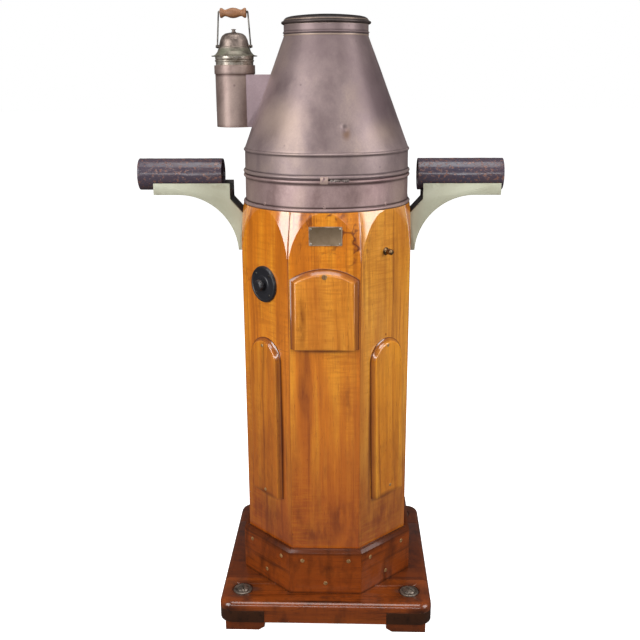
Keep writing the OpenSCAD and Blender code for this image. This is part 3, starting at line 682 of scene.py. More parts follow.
def painted(name, paint, stain, bare, chips, scale=30.0, rough=(0.42, 0.62)):
    """Old paint with stains, and chips down to what is under it."""
    paint, stain, bare = (srgb(*c) for c in (paint, stain, bare))
    g = Graph(name)
    v = g.place()
    cloud = g.noise(v, 11.0, 4.0, 0.6, 0.4)
    flake = g.noise(v, scale, 8.0, 0.68, 0.3)
    speck = g.noise(v, 240.0, 4.0, 0.6)
    bend = g.attribute("bend")
    base = g.mix(g.band(cloud, 0.35, 0.7, 0.0, 0.55), paint, stain)
    base = g.mix(g.band(speck, 0.55, 0.75, 0.0, 0.35), base, stain)
    gone = g.band(flake, chips, chips + 0.03)
    worn = g.times(g.band(bend, -0.3, -0.1, 1.0, 0.0), g.band(flake, 0.42, 0.5))
    gone = g.math("MAXIMUM", gone, worn)
    base = g.mix(gone, base, bare)
    # darker in hollows: dirt and painted shade
    base = g.mix(g.band(bend, 0.03, 0.25, 0.0, 0.6), base, srgb(38, 33, 30))
    gloss = g.band(cloud, 0.3, 0.7, rough[0], rough[1])
    relief = g.bump(g.math("SUBTRACT", 1.0, gone), 0.35, 0.0006)
    relief = g.bump(speck, 0.10, 0.0005, relief)
    return g.surface(Base_Color=base, Roughness=gloss, Normal=relief)


def plain_wood(name, pale, dark):
    """Oiled timber for the parts inside, grain along X."""
    pale, dark = (srgb(*c) for c in (pale, dark))
    g = Graph(name)
    v = g.place()
    rings = g.noise(v, (1.5, 45, 45), 5.0, 0.6, 0.4)
    fibre = g.noise(v, (14, 500, 500), 3.0, 0.6)
    base = g.ramp(rings, (0.3, dark), (0.65, pale))
    base = g.mix(g.band(fibre, 0.4, 0.7, 0.3, 0.0), base, dark, "MULTIPLY")
    return g.surface(Base_Color=base, Roughness=g.band(fibre, 0.3, 0.7, 0.5, 0.65),
                     Normal=g.bump(rings, 0.1, 0.001))


def clear_glass(name):
    g = Graph(name)
    smear = g.noise(g.place(), 18.0, 4.0)
    return g.surface(Base_Color=(0.95, 0.98, 0.97, 1), Roughness=g.band(smear, 0.3, 0.8, 0.02, 0.09),
                     Transmission_Weight=1.0, IOR=1.45)


def speckled(name, base_colour, other, rough=(0.5, 0.7), scale=90.0, bump_by=0.15):
    base_colour, other = (srgb(*c) for c in (base_colour, other))
    g = Graph(name)
    v = g.place()
    n = g.noise(v, scale, 5.0, 0.6)
    base = g.mix(g.band(n, 0.35, 0.7), base_colour, other)
    return g.surface(Base_Color=base, Roughness=g.band(n, 0.3, 0.7, rough[0], rough[1]),
                     Normal=g.bump(n, bump_by, 0.0005))


LOW_STAINS = (((0.032, -0.19, 0.27), (0.032, 0.1, 0.06)), ((-0.02, -0.19, 0.225), (0.07, 0.1, 0.04)),
              ((-0.14, -0.14, 0.25), (0.06, 0.08, 0.05)), ((0.05, -0.19, 0.56), (0.012, 0.1, 0.06)),
              ((-0.045, -0.19, 0.58), (0.02, 0.1, 0.08)), ((0.14, -0.14, 0.24), (0.05, 0.08, 0.04)))
PLATE_SCARS = (((0.01, -0.18, 0.94), (0.1, 0.1, 0.08)), ((0.07, -0.18, 0.9), (0.03, 0.1, 0.07)))
# painted shadow along the foot and sides of the door and of the two panels
PANEL_SHADOW = (((0.0, -0.19, 0.674), (0.085, 0.03, 0.008)), ((0.129, -0.129, 0.3), (0.046, 0.046, 0.012)),
               ((-0.125, -0.125, 0.3), (0.046, 0.046, 0.012)),
               ((0.1011, -0.1676, 0.46), (0.007, 0.007, 0.21)),
               ((-0.0972, -0.1715, 0.46), (0.006, 0.006, 0.2)))
# painted shadow on the panels and the door at their feet
FOOT_SHADOW = (((0.134, -0.134, 0.302), (0.06, 0.06, 0.014)), ((-0.13, -0.13, 0.302), (0.06, 0.06, 0.014)),
              ((0.0, -0.19, 0.675), (0.1, 0.03, 0.006)))
# dirt and painted shade round the bolt caps, along the front edge and at the front corners of the base
CORNER_DIRT_AND_SHADE = (((0.198, -0.188, 0.074), (0.05, 0.05, 0.02)), ((-0.198, -0.188, 0.074), (0.05, 0.05, 0.02)),
               ((0.0, -0.236, 0.074), (0.15, 0.006, 0.012)), ((0.22, -0.248, 0.05), (0.04, 0.02, 0.03)),
               ((-0.22, -0.248, 0.05), (0.04, 0.02, 0.03)))
COLUMN_MARKS = (LOW_STAINS, PLATE_SCARS, PANEL_SHADOW)
COLUMN_WOOD = varnished("column_varnish", (234, 156, 42), (214, 124, 26), (108, 44, 10),
                        (146, 62, 16), 1.0, *COLUMN_MARKS)
PALE_STAVE_WOOD = varnished("pale_stave_varnish", (240, 172, 62), (224, 146, 44), (116, 50, 12),
                            (150, 68, 20), 1.0, *COLUMN_MARKS)
PANEL_WOOD = varnished("panel_varnish", (226, 152, 44), (202, 120, 28), (100, 40, 10),
                       (164, 80, 20), 0.8, (), (), FOOT_SHADOW)
PALE_PANEL_WOOD = varnished("pale_panel_varnish", (250, 184, 62), (232, 152, 38), (116, 52, 12),
                            (190, 102, 24), 0.8, (), (), FOOT_SHADOW)
DOOR_WOOD = varnished("door_varnish", (230, 158, 56), (208, 130, 42), (104, 44, 12),
                      (164, 80, 20), 0.45, (((-0.05, -0.19, 0.74), (0.012, 0.1, 0.07)),), (), FOOT_SHADOW)
BASE_WOOD = varnished("base_varnish", (140, 70, 24), (110, 50, 15), (44, 18, 9),
                      (102, 45, 14), 0.4)
SKIRTING_WOOD = varnished("skirting_varnish", (182, 98, 34), (150, 72, 20), (44, 18, 8),
                          (130, 58, 16), 0.12)
FRONT_PLANK_WOOD = varnished("front_plank_varnish", (176, 90, 26), (132, 60, 16), (34, 14, 8),
                             (120, 54, 14), 0.45, (), (), CORNER_DIRT_AND_SHADE)
BEARER_WOOD = varnished("bearer_stain", (86, 50, 28), (62, 36, 22), (28, 16, 10),
                        (56, 32, 19), 0.1)
# patches on the hood: mauve patina, except the two mauve patches on the right (x 0.11 and 0.13), which are
# painted shade; the warm patches low on the cone are painted glow, and the brown one below the dent is
# painted shade
WARM_PAINTED_GLOW, MAUVE = (182, 158, 136), (96, 78, 82)
HOOD_PATCHES = (((0.11, -0.10, 1.27), (0.09, 0.14, 0.17), MAUVE, 0.7),
                ((-0.03, -0.16, 1.33), (0.14, 0.16, 0.08), MAUVE, 0.6),
                ((-0.12, -0.10, 1.26), (0.08, 0.14, 0.10), MAUVE, 0.35),
                ((-0.1, -0.14, 1.165), (0.08, 0.12, 0.06), WARM_PAINTED_GLOW, 0.4),
                ((0.13, -0.12, 1.14), (0.05, 0.12, 0.035), WARM_PAINTED_GLOW, 0.35),
                ((0.13, -0.1, 1.2), (0.09, 0.1, 0.09), MAUVE, 0.8),
                ((0.046, -0.17, 1.137), (0.012, 0.05, 0.016), (116, 84, 60), 0.9))
HOOD_COPPER = copper("hood_copper", (170, 150, 138), (142, 124, 122), (102, 84, 86), 0.5, HOOD_PATCHES)
BAND_COPPER = copper("band_copper", (184, 160, 150), (154, 130, 128), (92, 66, 62), 0.5,
                     (((0.12, -0.15, 1.07), (0.06, 0.08, 0.08), (112, 82, 86), 0.6),
                      ((-0.15, -0.1, 1.07), (0.05, 0.08, 0.08), (112, 82, 86), 0.5)))
LAMP_COPPER = copper("lamp_copper", (166, 146, 134), (144, 125, 118), (96, 74, 68))
BOX_COPPER = copper("box_copper", (150, 130, 134), (138, 119, 123), (104, 86, 90), 0.45, (), 0.0)
# its darkest colour is the lid top's painted dark reflection
LID_COPPER = copper("lid_copper", (106, 92, 88), (84, 72, 69), (16, 13, 15), 0.6)
BRASS = old_metal("old_brass", (206, 178, 122), (156, 124, 74), (70, 50, 28))
RUBBED_BRASS = old_metal("rubbed_brass", (208, 200, 188), (170, 160, 148),
                         (112, 100, 86), (0.2, 0.36), 0.6)
SCREW_BRASS = old_metal("screw_brass", (196, 162, 112), (164, 126, 82), (84, 58, 34), (0.34, 0.55), 0.5)
PLATE_BRASS = old_metal("plate_brass", (176, 156, 132), (150, 130, 110), (104, 86, 64), (0.4, 0.6), 0.5)
PEG_BRASS = old_metal("peg_brass", (150, 124, 92), (104, 80, 54), (46, 32, 20), (0.22, 0.4))
DARK_STEEL = old_metal("dark_steel", (128, 124, 116), (84, 80, 76), (40, 36, 34))
CAP_STEEL = old_metal("cap_steel", (152, 140, 128), (106, 94, 84), (46, 38, 32), (0.26, 0.46), 0.7)
GREY_PAINT = painted("grey_green_paint", (176, 177, 156), (152, 148, 126), (112, 100, 80), 0.68)
BLACK_PAINT = painted("black_paint", (26, 24, 24), (40, 36, 34), (70, 54, 44), 0.7)
TUBE_PAINT = painted("tube_paint", (66, 60, 72), (84, 64, 66), (112, 78, 70), 0.55, 150.0,
                     (0.16, 0.28))
RED_PAINT = painted("red_paint", (150, 36, 28), (110, 28, 22), (90, 88, 84), 0.68)
BAKELITE = painted("bakelite", (26, 26, 30), (34, 33, 38), (84, 80, 82), 0.74, 70.0,
                   (0.26, 0.42))
INNER_WOOD = plain_wood("inner_wood", (176, 122, 72), (112, 70, 38))
GRIP_WOOD = plain_wood("grip_wood", (166, 116, 76), (96, 58, 34))
GLASS = clear_glass("clear_glass")
CARD_PAPER = speckled("card_paper", (232, 226, 206), (214, 204, 178), (0.6, 0.8))
CARD_INK = speckled("card_ink", (24, 24, 30), (40, 38, 44), (0.5, 0.7))
BOWL_WHITE = speckled("bowl_white", (216, 212, 196), (188, 180, 158), (0.35, 0.5), 40.0, 0.05)
WICK_COTTON = speckled("wick_cotton", (224, 214, 188), (176, 160, 128), (0.8, 0.95), 900.0, 0.5)
SOLDER = old_metal("solder", (150, 140, 134), (110, 98, 94), (66, 54, 52), (0.3, 0.5), 0.7)


# ---------------------------------------------------------------- base
def square_ring(half, corner, z, n=10):
    """A square with rounded corners, as a ring at height z."""
    pts = []
    for k, (sx, sy) in enumerate(((1, 1), (-1, 1), (-1, -1), (1, -1))):
        c = half - corner
        for x, y in arc(sx * c, sy * c, corner, 90 * k, 90 * k + 90, n):
            pts.append((x, y, z))
    return pts


def base_block(z0, z1, edge):
    """A board of the base's plan from z0 to z1, its top edge rounded by edge."""
    rings = [square_ring(BOARD_HALF, CORNER_PLAN_R, z0), square_ring(BOARD_HALF, CORNER_PLAN_R, z1 - edge)]
    for k in range(1, 9):
        a = math.radians(90 * k / 8)
        inset = edge * (1 - math.cos(a))
        rings.append(square_ring(BOARD_HALF - inset, CORNER_PLAN_R - inset, z1 - edge + edge * math.sin(a)))
    return loft("base_block", rings)


def make_base():
    def bolt_hole(sx, sy, z0=0):
        return drum("hole", BOLT_HOLE_R, z0, 100, (sx * BOLT_X, sy * BOLT_Y), 32)

    planks = []
    joint, gap = PLANK_JOINT, 0.25
    spans = ((-FAR, -joint - gap), (gap - joint, joint - gap), (joint + gap, FAR))
    for k, (y0, y1) in enumerate(spans):
        board = base_block(SKID_H, BOARD_TOP, BEVEL_R)
        cut(board, block("span", (-FAR, y0, 0), (FAR, y1, 200)), operation="INTERSECT")
        sides = [block("housing", (SKID_IN if s > 0 else -FAR, -FAR, 0),
                       (FAR if s > 0 else -SKID_IN, FAR, BEARER_TOP + 0.2)) for s in (1, -1)]
        bores = []
        for sx in (1, -1):
            for sy in (1, -1):
                if y0 < sy * BOLT_Y < y1:
                    at = (sx * BOLT_X, sy * BOLT_Y)
                    bores.append(drum("bore", CAP_R, BOARD_TOP - 6, 200, at))
                    bores.append(drum("groove", CAP_R + 3.2, BOARD_TOP - 1.5, 200, at))
                    bores.append(bolt_hole(sx, sy))
        cut(board, *sides, *bores)
        soften(board, 0.9, 2, 40)
        planks.append(grain(board, (1, 0, 0), (0, 1, 0), k + 1))
    for board in planks:
        two_tone(board, BASE_WOOD, FRONT_PLANK_WOOD, lambda f: board is planks[0])
    piece(join("base_planks", planks), "binnacle", "base_wood", BASE_WOOD, "base_board")

    bearers = []
    for k, s in enumerate((-1, 1)):
        b = base_block(SKID_H, BEARER_TOP, 0.5)
        lo, hi = sorted((s * (SKID_IN + 0.3), s * FAR))
        cut(b, block("side", (lo, -FAR, 0), (hi, FAR, 100)), operation="INTERSECT")
        cut(b, *[bolt_hole(s, sy) for sy in (1, -1)])
        soften(b, 1.2, 2, 40)
        bearers.append(grain(b, (0, 1, 0), (1, 0, 0), 11 + k))
    piece(join("bearer_blocks", bearers), "binnacle", "bearer_wood", BEARER_WOOD, "bearers")

    skids = []
    depth = high("skids")[1]
    for k, s in enumerate((-1, 1)):
        outline = [(s * x, z) for x, z in ((SKID_IN, SKID_H), (SKID_OUT, SKID_H), (SKID_OUT, 0),
                                           (SKID_IN + 14, 0), (SKID_IN, 9))]
        b = plate("skid", outline, -depth, depth)
        cut(b, *[bolt_hole(s, sy, -20) for sy in (1, -1)])
        soften(b, 1.5, 2, 25)
        skids.append(grain(b, (0, 1, 0), (1, 0, 0), 21 + k))
    piece(join("skid_blocks", skids), "binnacle", "base_wood", BASE_WOOD, "skids")


def make_caps():
    """Domed, slotted caps over the deck bolts."""
    z = BOARD_TOP
    outline = [(0, z - 5.7), (21.8, z - 5.7), (21.8, z - 0.5), (21.4, z + 0.9), (20.2, z + 1.9),
               (18.4, z + 2.3), (16.6, z + 2.0), (15.4, z + 1.4), (14.6, z + 1.5), (14.2, z + 2.2)]
    outline += oval(0, z + 2.2, 14.2, 5.1, range(10, 91, 10))
    outline[-1] = (0, z + 7.3)
    cap = lathe("cap", outline, 64)
    cut(cap, block("slot", (-30, -1.5, z + 4.0), (30, 1.5, z + 12)))
    soften(cap, 0.4, 1, 40)
    rng = random.Random(5)
    caps = [copy_of(cap, shift(sx * BOLT_X, sy * BOLT_Y, 0) @ turn_z(rng.uniform(0, 180)))
            for sx in (-1, 1) for sy in (-1, 1)]
    bpy.data.objects.remove(cap)
    piece(join("bolt_caps", caps), "binnacle", "dark_steel", CAP_STEEL, "deck_bolt_caps")


# ---------------------------------------------------------------- screws
def screw_head(radius, height, depth=8.0):
    """A slotted head that stands out of the front face, with a short shank behind it."""
    outline = [(0, -depth), (radius * 0.4, -depth), (radius * 0.4, -0.5), (radius, -0.5),
               (radius, height * 0.35)]
    outline += oval(0, height * 0.35, radius, height * 0.65, (20, 40, 60, 75))
    outline.append((0, height))
    head = lathe("head", outline, 28)
    cut(head, block("slot", (-2 * radius, -radius * 0.13, height * 0.2),
                    (2 * radius, radius * 0.13, height * 3)))
    return place(head, UPRIGHT)


def screws(name, heads, body, slot, metals, node):
    """heads: (face, across, out, up, radius, height, which metal) for each screw."""
    rng = random.Random(len(heads))
    made = []
    sizes = sorted({h[4:6] for h in heads})
    kinds = {size: screw_head(*size) for size in sizes}
    for face, across, out, up, radius, height, metal in heads:
        spin = Matrix.Rotation(rng.uniform(0, math.pi), 4, "Y")
        head = copy_of(kinds[(radius, height)], on_face(face) @ shift(across, -out, up) @ spin)
        for m in metals:
            head.data.materials.append(m)
        for f in head.data.polygons:
            f.material_index = metal
        made.append(head)
    for kind in kinds.values():
        bpy.data.objects.remove(kind)
    piece(join(name, made), body, slot, metals, node)


# ---------------------------------------------------------------- column
def stave(seed):
    """One board of the column: flat below, turned round at the top, with an arched arris between."""
    seam, worn = 0.03, 0.6
    edge = 22.5 - seam
    fine = [0, 0.15, 0.3, 0.45, worn]
    n_turn, n_flat = 6, 12
    zs = [BOARD_TOP, 200, 340, 480, 620, 740]
    steps = 22
    zs += [TURN_Z + (LEDGE - TURN_Z) * i / steps for i in range(steps + 1)]
    rows = [(z, turned_r(z)) for z in zs] + [(LEDGE, SEAT_R), (STAVE_TOP, SEAT_R)]
    inner = COL_A - STAVE_T
    rings = []
    for z, limit in rows:
        flat = math.degrees(math.acos(min(1.0, COL_A / limit))) if limit > COL_A else 0.0
        flat = min(flat, edge - worn)
        side = [edge - f for f in fine]
        side += [edge - worn + (flat - edge + worn) * i / n_turn for i in range(1, n_turn + 1)]
        angles = [-a for a in side] + [-flat + 2 * flat * i / n_flat for i in range(1, n_flat)] + side[::-1]
        ring = []
        for a in angles:
            r = min(COL_A / math.cos(math.radians(a)), limit)
            from_edge = (edge - abs(a)) / worn
            if from_edge < 1 and limit != SEAT_R:
                r -= 1.1 * (1 - from_edge) ** 2
            t = math.radians(a)
            ring.append((r * math.sin(t), -r * math.cos(t), z))
        half = inner * math.tan(math.radians(edge))
        ring += [(half, -inner, z), (-half, -inner, z)]
        rings.append(ring)
    board = loft("stave", rings)
    upright_grain(board, seed)

    def joint(p):
        strength = 0.15 + 0.7 * min(1.0, max(0.0, (p.z - 560) / 200))
        return strength if abs(math.degrees(math.atan2(p.x, -p.y))) > edge - 0.2 else 0.0
    return tag(board, "shade", joint)


def arch(half, foot, spring, rise, inset=0.0, n=28, foot_inset=0.0):
    """Outline of a board with a round or flat-arched top, set in by inset."""
    big = (half * half + rise * rise) / (2 * rise)
    mid = spring + rise - big
    w, r = half - inset, big - inset
    start = math.degrees(math.atan2(math.sqrt(max(0.0, r * r - w * w)), w))
    return [(-w, foot + foot_inset), (w, foot + foot_inset)] + arc(0, mid, r, start, 180 - start, n)


# a hollow, a rounded nosing and a flat field: how far in and how far out
PANEL_EDGE = ((0, 0), (0, 2.0), (1.0, 2.6), (2.6, 3.8), (4.4, 5.6), (6.0, 7.8), (7.0, 9.8), (7.6, 10.6),
              (8.4, 11.4), (9.3, 11.85), (10.2, 12.0))
DOOR_EDGE = tuple((1.36 * inset, out) for inset, out in PANEL_EDGE)
FIELD = 12.0
NOSING = 10.2


def moulding_dirt_and_shade(out):
    """How dark the moulding is: dirt and painted shade in the hollow, clean on the nosing and the field."""
    if out > NOSING:
        return 0.0
    return 0.42 if out > 7.0 else (0.66 if out > 3.0 else 0.95)


def raised_panel(name, half, foot, spring, rise, back, profile):
    """A board with a moulded edge around a flat field."""
    rings = []
    for inset, out in profile:
        foot_inset = 1.6 if out == FIELD else (0.8 if out > NOSING else 0.0)
        rings.append([(x, -back - out, z) for x, z in arch(half, foot, spring, rise, inset,
                                                           foot_inset=foot_inset)])
    panel = loft(name, rings)
    # the moulding darkened with dirt and painted shade
    return tag(panel, "shade", lambda p: moulding_dirt_and_shade(-p.y - back))


# arched boards and the door's hole: half width, foot, where the arch springs, rise of the arch
DOOR = (75, 677, 833, 24)
SIDE_PANEL = (51.5, 304, 635.5, 51.5)
RIGHT_PANEL_SHIFT = 6
RIGHT_PANEL_LEAN = 1.5
HOLE = (54, 690, 832, 17)


def make_column():
    names = ["front_stave", "front_right_stave", "right_stave", None, None, None, "left_stave",
             "front_left_stave"]
    rear = []
    for k, node in enumerate(names):
        board = stave(31 + k)
        if k == 0:
            cut(board, plate("door_hole", arch(*HOLE), -COL_A - 20, -COL_A + STAVE_T + 10))
        if k in (2, 6):
            for z in BRACKET_BOLT_Z:
                cut(board, place(drum("bolt", 5, -20, 60, seg=24), shift(0, -COL_A, z) @ UPRIGHT.inverted()))
        if k == 7:
            cut(board, place(drum("spindle", 3.1, -8, 20, seg=24), shift(0, -COL_A, SWITCH_Z) @ UPRIGHT))
        if k in (0, 2, 6, 7):
            upright_grain(board, 31 + k)       # a cut gives the new corners no grain
        place(board, on_face(k))
        if node:
            wood = PALE_STAVE_WOOD if k == 1 else COLUMN_WOOD
            piece(board, "binnacle", "varnished_wood", wood, node, crease=7)
            board.name = node + "_board"
        else:
            rear.append(board)
    piece(join("rear_boards", rear), "binnacle", "varnished_wood", COLUMN_WOOD, "rear_staves", crease=7)

    boards = []
    edge = dense(rounded([(-COL_A, BOARD_TOP), (-SKIRT_A, BOARD_TOP), (-SKIRT_A, SKIRT_TOP - 8, 3),
                          (-SKIRT_A + 6, SKIRT_TOP, 2), (-COL_A, SKIRT_TOP)], 4), 8)
    for k in range(8):
        left = [(-(-y * TAN_HALF - 0.12), y, z) for y, z in edge]
        right = [(-y * TAN_HALF - 0.12, y, z) for y, z in edge]
        board = soften(loft("skirting", [left, right]), 0.7, 2, 50)
        # the top bevel is darkened as painted shade; the foot along the board is a dark joint
        tag(board, "shade", lambda p: 0.7 if p.z > SKIRT_TOP - 9 else (0.8 if p.z < BOARD_TOP + 2 else 0.0))
        boards.append(place(grain(board, (1, 0, 0), (0, 0, 1), 51 + k), on_face(k)))
    piece(join("skirting", boards), "binnacle", "base_wood", SKIRTING_WOOD, "skirting_boards")


def make_door():
    """The arched door, with a plug that fills its hole in the front board."""
    plug_back = -high("access_door")[1]
    door_back = COL_A + 0.3
    door = raised_panel("door_panel", *DOOR, door_back, DOOR_EDGE)
    half, foot, spring, rise = HOLE
    plug = plate("plug", arch(half - 1, foot + 1, spring - 1, rise), -door_back - 2, -plug_back)
    soften(plug, 0.6, 2, 40)
    keyhole = place(drum("keyway", 6, -60, 60, seg=40), shift(0, -COL_A, LOCK_Z) @ UPRIGHT)
    door = cut(door, plug, operation="UNION")
    cut(door, keyhole)
    back = -door_back

    # the door's moulding is darkened with dirt and painted shade
    def dirt_and_shade(p):
        on_moulding = abs(p.x) > DOOR[0] - 14 or p.z > DOOR[2]
        return moulding_dirt_and_shade(back - p.y) if on_moulding and p.y < back else 0.0
    tag(door, "shade", dirt_and_shade)
    upright_grain(door, 61)
    piece(door, "door", "varnished_wood", DOOR_WOOD, "access_door", crease=24)


def make_side_panels():
    middle = sum(SIDE_PANEL[1:]) / 2      # the right panel leans about this height
    lean = Matrix.Rotation(math.radians(-RIGHT_PANEL_LEAN), 4, "Y")
    set_right = shift(RIGHT_PANEL_SHIFT, 0, middle) @ lean @ shift(0, 0, -middle)
    for k, name, node, move in ((7, "left_raised_panel", "left_side_panel", shift(0, 0, 0)),
                                (1, "right_raised_panel", "right_side_panel", set_right)):
        panel = raised_panel(name, *SIDE_PANEL, COL_A, PANEL_EDGE)
        upright_grain(panel, 62 + k)
        place(panel, on_face(k) @ move)
        wood = PALE_PANEL_WOOD if k == 1 else PANEL_WOOD
        piece(panel, "binnacle", "varnished_wood", wood, node, crease=24)


def make_lock():
    """A round escutcheon with a keyhole, and its case behind the door."""
    front = COL_A + 12.3
    ring = lathe("lock", rounded([(0, -19), (5.8, -19), (5.8, 0.6, 0.4), (4.4, 1.0, 0.3), (4.0, 0.2, 0.3),
                                  (0, 0.2)], 3), 40)
    place(ring, UPRIGHT)
    place(ring, shift(0, -front, LOCK_Z))
    outline = [(-0.7, LOCK_Z - 3.4), (0.7, LOCK_Z - 3.4), (0.6, LOCK_Z)]
    outline += arc(0, LOCK_Z + 1, 1.5, -50, 230, 12) + [(-0.6, LOCK_Z)]
    cut(ring, plate("key", outline, -front - 4, -front + 7))
    case = soften(block("case", (-14, -COL_A + 7, 815), (14, -COL_A + 17, 843)), 1.2, 2)
    piece(join("lock", [ring, case]), "door", "brass", SCREW_BRASS, "door_lock")


def make_nameplate():
    """A blank plate with a thin raised rim."""
    lo, hi = low("nameplate"), high("nameplate")
    corners = [(lo[0], lo[2], 2), (hi[0], lo[2], 2), (hi[0], hi[2], 2), (lo[0], hi[2], 2)]
    tablet = plate("tablet", rounded(corners, 4), lo[1], hi[1])
    rim = 1.8
    field = block("field", (lo[0] + rim, lo[1] - 2, lo[2] + rim), (hi[0] - rim, lo[1] + 0.4, hi[2] - rim))
    cut(tablet, field)
    piece(soften(tablet, 0.25, 2, 40), "binnacle", "brass", PLATE_BRASS, "nameplate")


def make_screws():
    lo, hi = low("nameplate"), high("nameplate")
    cx, cz = (lo[0] + hi[0]) / 2, (lo[2] + hi[2]) / 2
    heads = [(0, cx + sx * 31, COL_A + 1.2, cz + sz * 16, 2.3, 1.0, 0) for sx in (-1, 1) for sz in (-1, 1)]
    heads += [(7, sx * 22, COL_A + 6.6, SWITCH_Z + sz * 22, 3.0, 0.9, 1) for sx in (-1, 1) for sz in (-1, 1)]
    heads += [(k, t, COL_A + 12, z, 3.8, 0.7, 2)
              for k, t, z in ((7, 0, 314), (7, 0, 670), (1, 12, 325), (1, -3, 673))]
    metals = [RUBBED_BRASS, DARK_STEEL, SCREW_BRASS]
    screws("fitting_screws", heads, "binnacle", "brass", metals, "small_screws")

    heads = [(k, t, SKIRT_A, SKIRT_TOP - down, 4.8, 0.9, 0) for k in range(8)
             for t, down in ((-54, 27), (54, 27), (0, 86))]
    screws("foot_screws", heads, "binnacle", "brass", [SCREW_BRASS], "skirting_screws")
    heads = [(k, 0, RING_R, LEDGE + 12, 3.6, 1.2, 0) for k in range(8)]
    screws("ring_screws", heads, "binnacle", "brass", [BAND_COPPER], "seat_ring_screws")


def make_switch():
    """A moulded base with a raised hub, and a fluted knob."""
    base = lathe("switch", rounded([(3.2, 0), (41, 0), (41, 3.4, 1.2), (39.2, 6.6, 2.0), (36, 7.0, 1),
                                    (34, 6.1, 1), (20, 6.1, 1), (18.5, 7.0, 0.6), (3.2, 7.0)], 4), 96)
    set_on_face(base, 7, 0, SWITCH_Z)
    piece(base, "binnacle", "black_bakelite", BAKELITE, "switch_base")

    def fluted(a, r, h):
        return (r - 0.9 * max(0.0, math.cos(9 * a)) ** 2 if r > 9 and h > 8.5 else r), h
    knob = lathe("knob", rounded([(0, -6), (2.9, -6), (2.9, 7.3), (13.5, 7.3, 0.6), (13.5, 15, 1),
                                  (12.2, 20.4, 2.2), (7, 22.2, 2), (0, 22.3)], 4), 72, warp=fluted)
    set_on_face(knob, 7, 0, SWITCH_Z)
    piece(knob, "knob", "black_bakelite", BAKELITE, "switch_knob")


def make_peg():
    peg = lathe("peg", rounded([(0, -10), (2.4, -10), (2.4, 0), (8.5, 0), (8.5, 2.2, 0.6), (5.6, 3.4, 0.8),
                                (4.6, 5.2, 0.8), (6.3, 7.6, 0.8), (6.3, 17, 1.2), (5.2, 19.4, 1.2),
                                (0, 20.1)], 4), 48)
    set_on_face(peg, 1, -3.5, 885)
    piece(peg, "binnacle", "brass", PEG_BRASS, "brass_peg")


# ---------------------------------------------------------------- copperwork
def rippled(amount, first, last, seed):
    """A warp that makes a sheet slightly uneven between two heights."""
    def warp(a, r, z):
        if r < 60 or not first < z < last:
            return r, z
        fade = min(1.0, (z - first) / 12, (last - z) / 12)
        spot = Vector((math.cos(a) * 1.7, math.sin(a) * 1.7, z / 85 + seed))
        return r + amount * fade * noise.noise(spot), z
    return warp


def make_seat_ring():
    outline = [(SEAT_R + 0.2, LEDGE), (RING_R - 0.4, LEDGE)]
    outline += [(RING_R + 1.5 + x, z) for x, z in arc(0, LEDGE + 4, 4, -88, 75, 12)]
    outline += dense([(RING_R + 0.1, LEDGE + 8.2), (RING_R, RING_TOP - 9)], 5, closed=False)
    outline += arc(RING_R, RING_TOP - 4, 4, -80, 100, 14)
    outline += [(SEAT_R + 0.3, RING_TOP - 0.3), (SEAT_R + 0.2, RING_TOP - 1.5)]
    ring = lathe("seat_band", outline, 192, warp=rippled(0.35, LEDGE + 9, RING_TOP - 8, 3.1))
    tag(ring, "shade", lambda p: 0.75 if p.z < LEDGE + 1 or p.z > RING_TOP - 1 else 0.0)
    piece(ring, "binnacle", "oxidised_copper", BAND_COPPER, "seat_ring", crease=34)

    lug_y = low("index_lug")[1]
    lug = block("lug", (-8, lug_y, RING_TOP - 7), (8, lug_y + 4, RING_TOP + 8))
    foot = block("lug_foot", (-8, lug_y + 3, RING_TOP - 7), (8, lug_y + 7, RING_TOP - 2))
    cut(lug, foot, operation="UNION")
    cut(lug, block("notch", (-1.1, lug_y - 2, RING_TOP + 3), (1.1, lug_y + 1.4, RING_TOP + 12)))
    soften(lug, 0.9, 2, 40)
    piece(lug, "binnacle", "oxidised_copper", BAND_COPPER, "index_lug")


def make_solder():
    """An old soldered repair beside the lug."""
    rng = random.Random(12)
    blobs = []
    for i in range(9):
        a = math.radians(4.5 + i * 1.35 + rng.uniform(-0.3, 0.3))
        size = rng.uniform(1.5, 2.7)
        dome = oval(0, 0, size * 1.5, size, range(-30, 90, 15)) + [(0, size)]
        blob = lathe("blob", [(0, -size * 0.5)] + dome, 16)
        out = RING_R + 2.2
        spot = shift(out * math.sin(a), -out * math.cos(a), RING_TOP - 0.8 + rng.uniform(-1, 0.2))
        blobs.append(place(blob, spot @ turn_z(math.degrees(a)) @ UPRIGHT))
    piece(join("solder_repair", blobs), "binnacle", "dark_steel", SOLDER)


DENT = (math.radians(-90 + 14.9), 1151)     # where the hood has its dent: angle and height


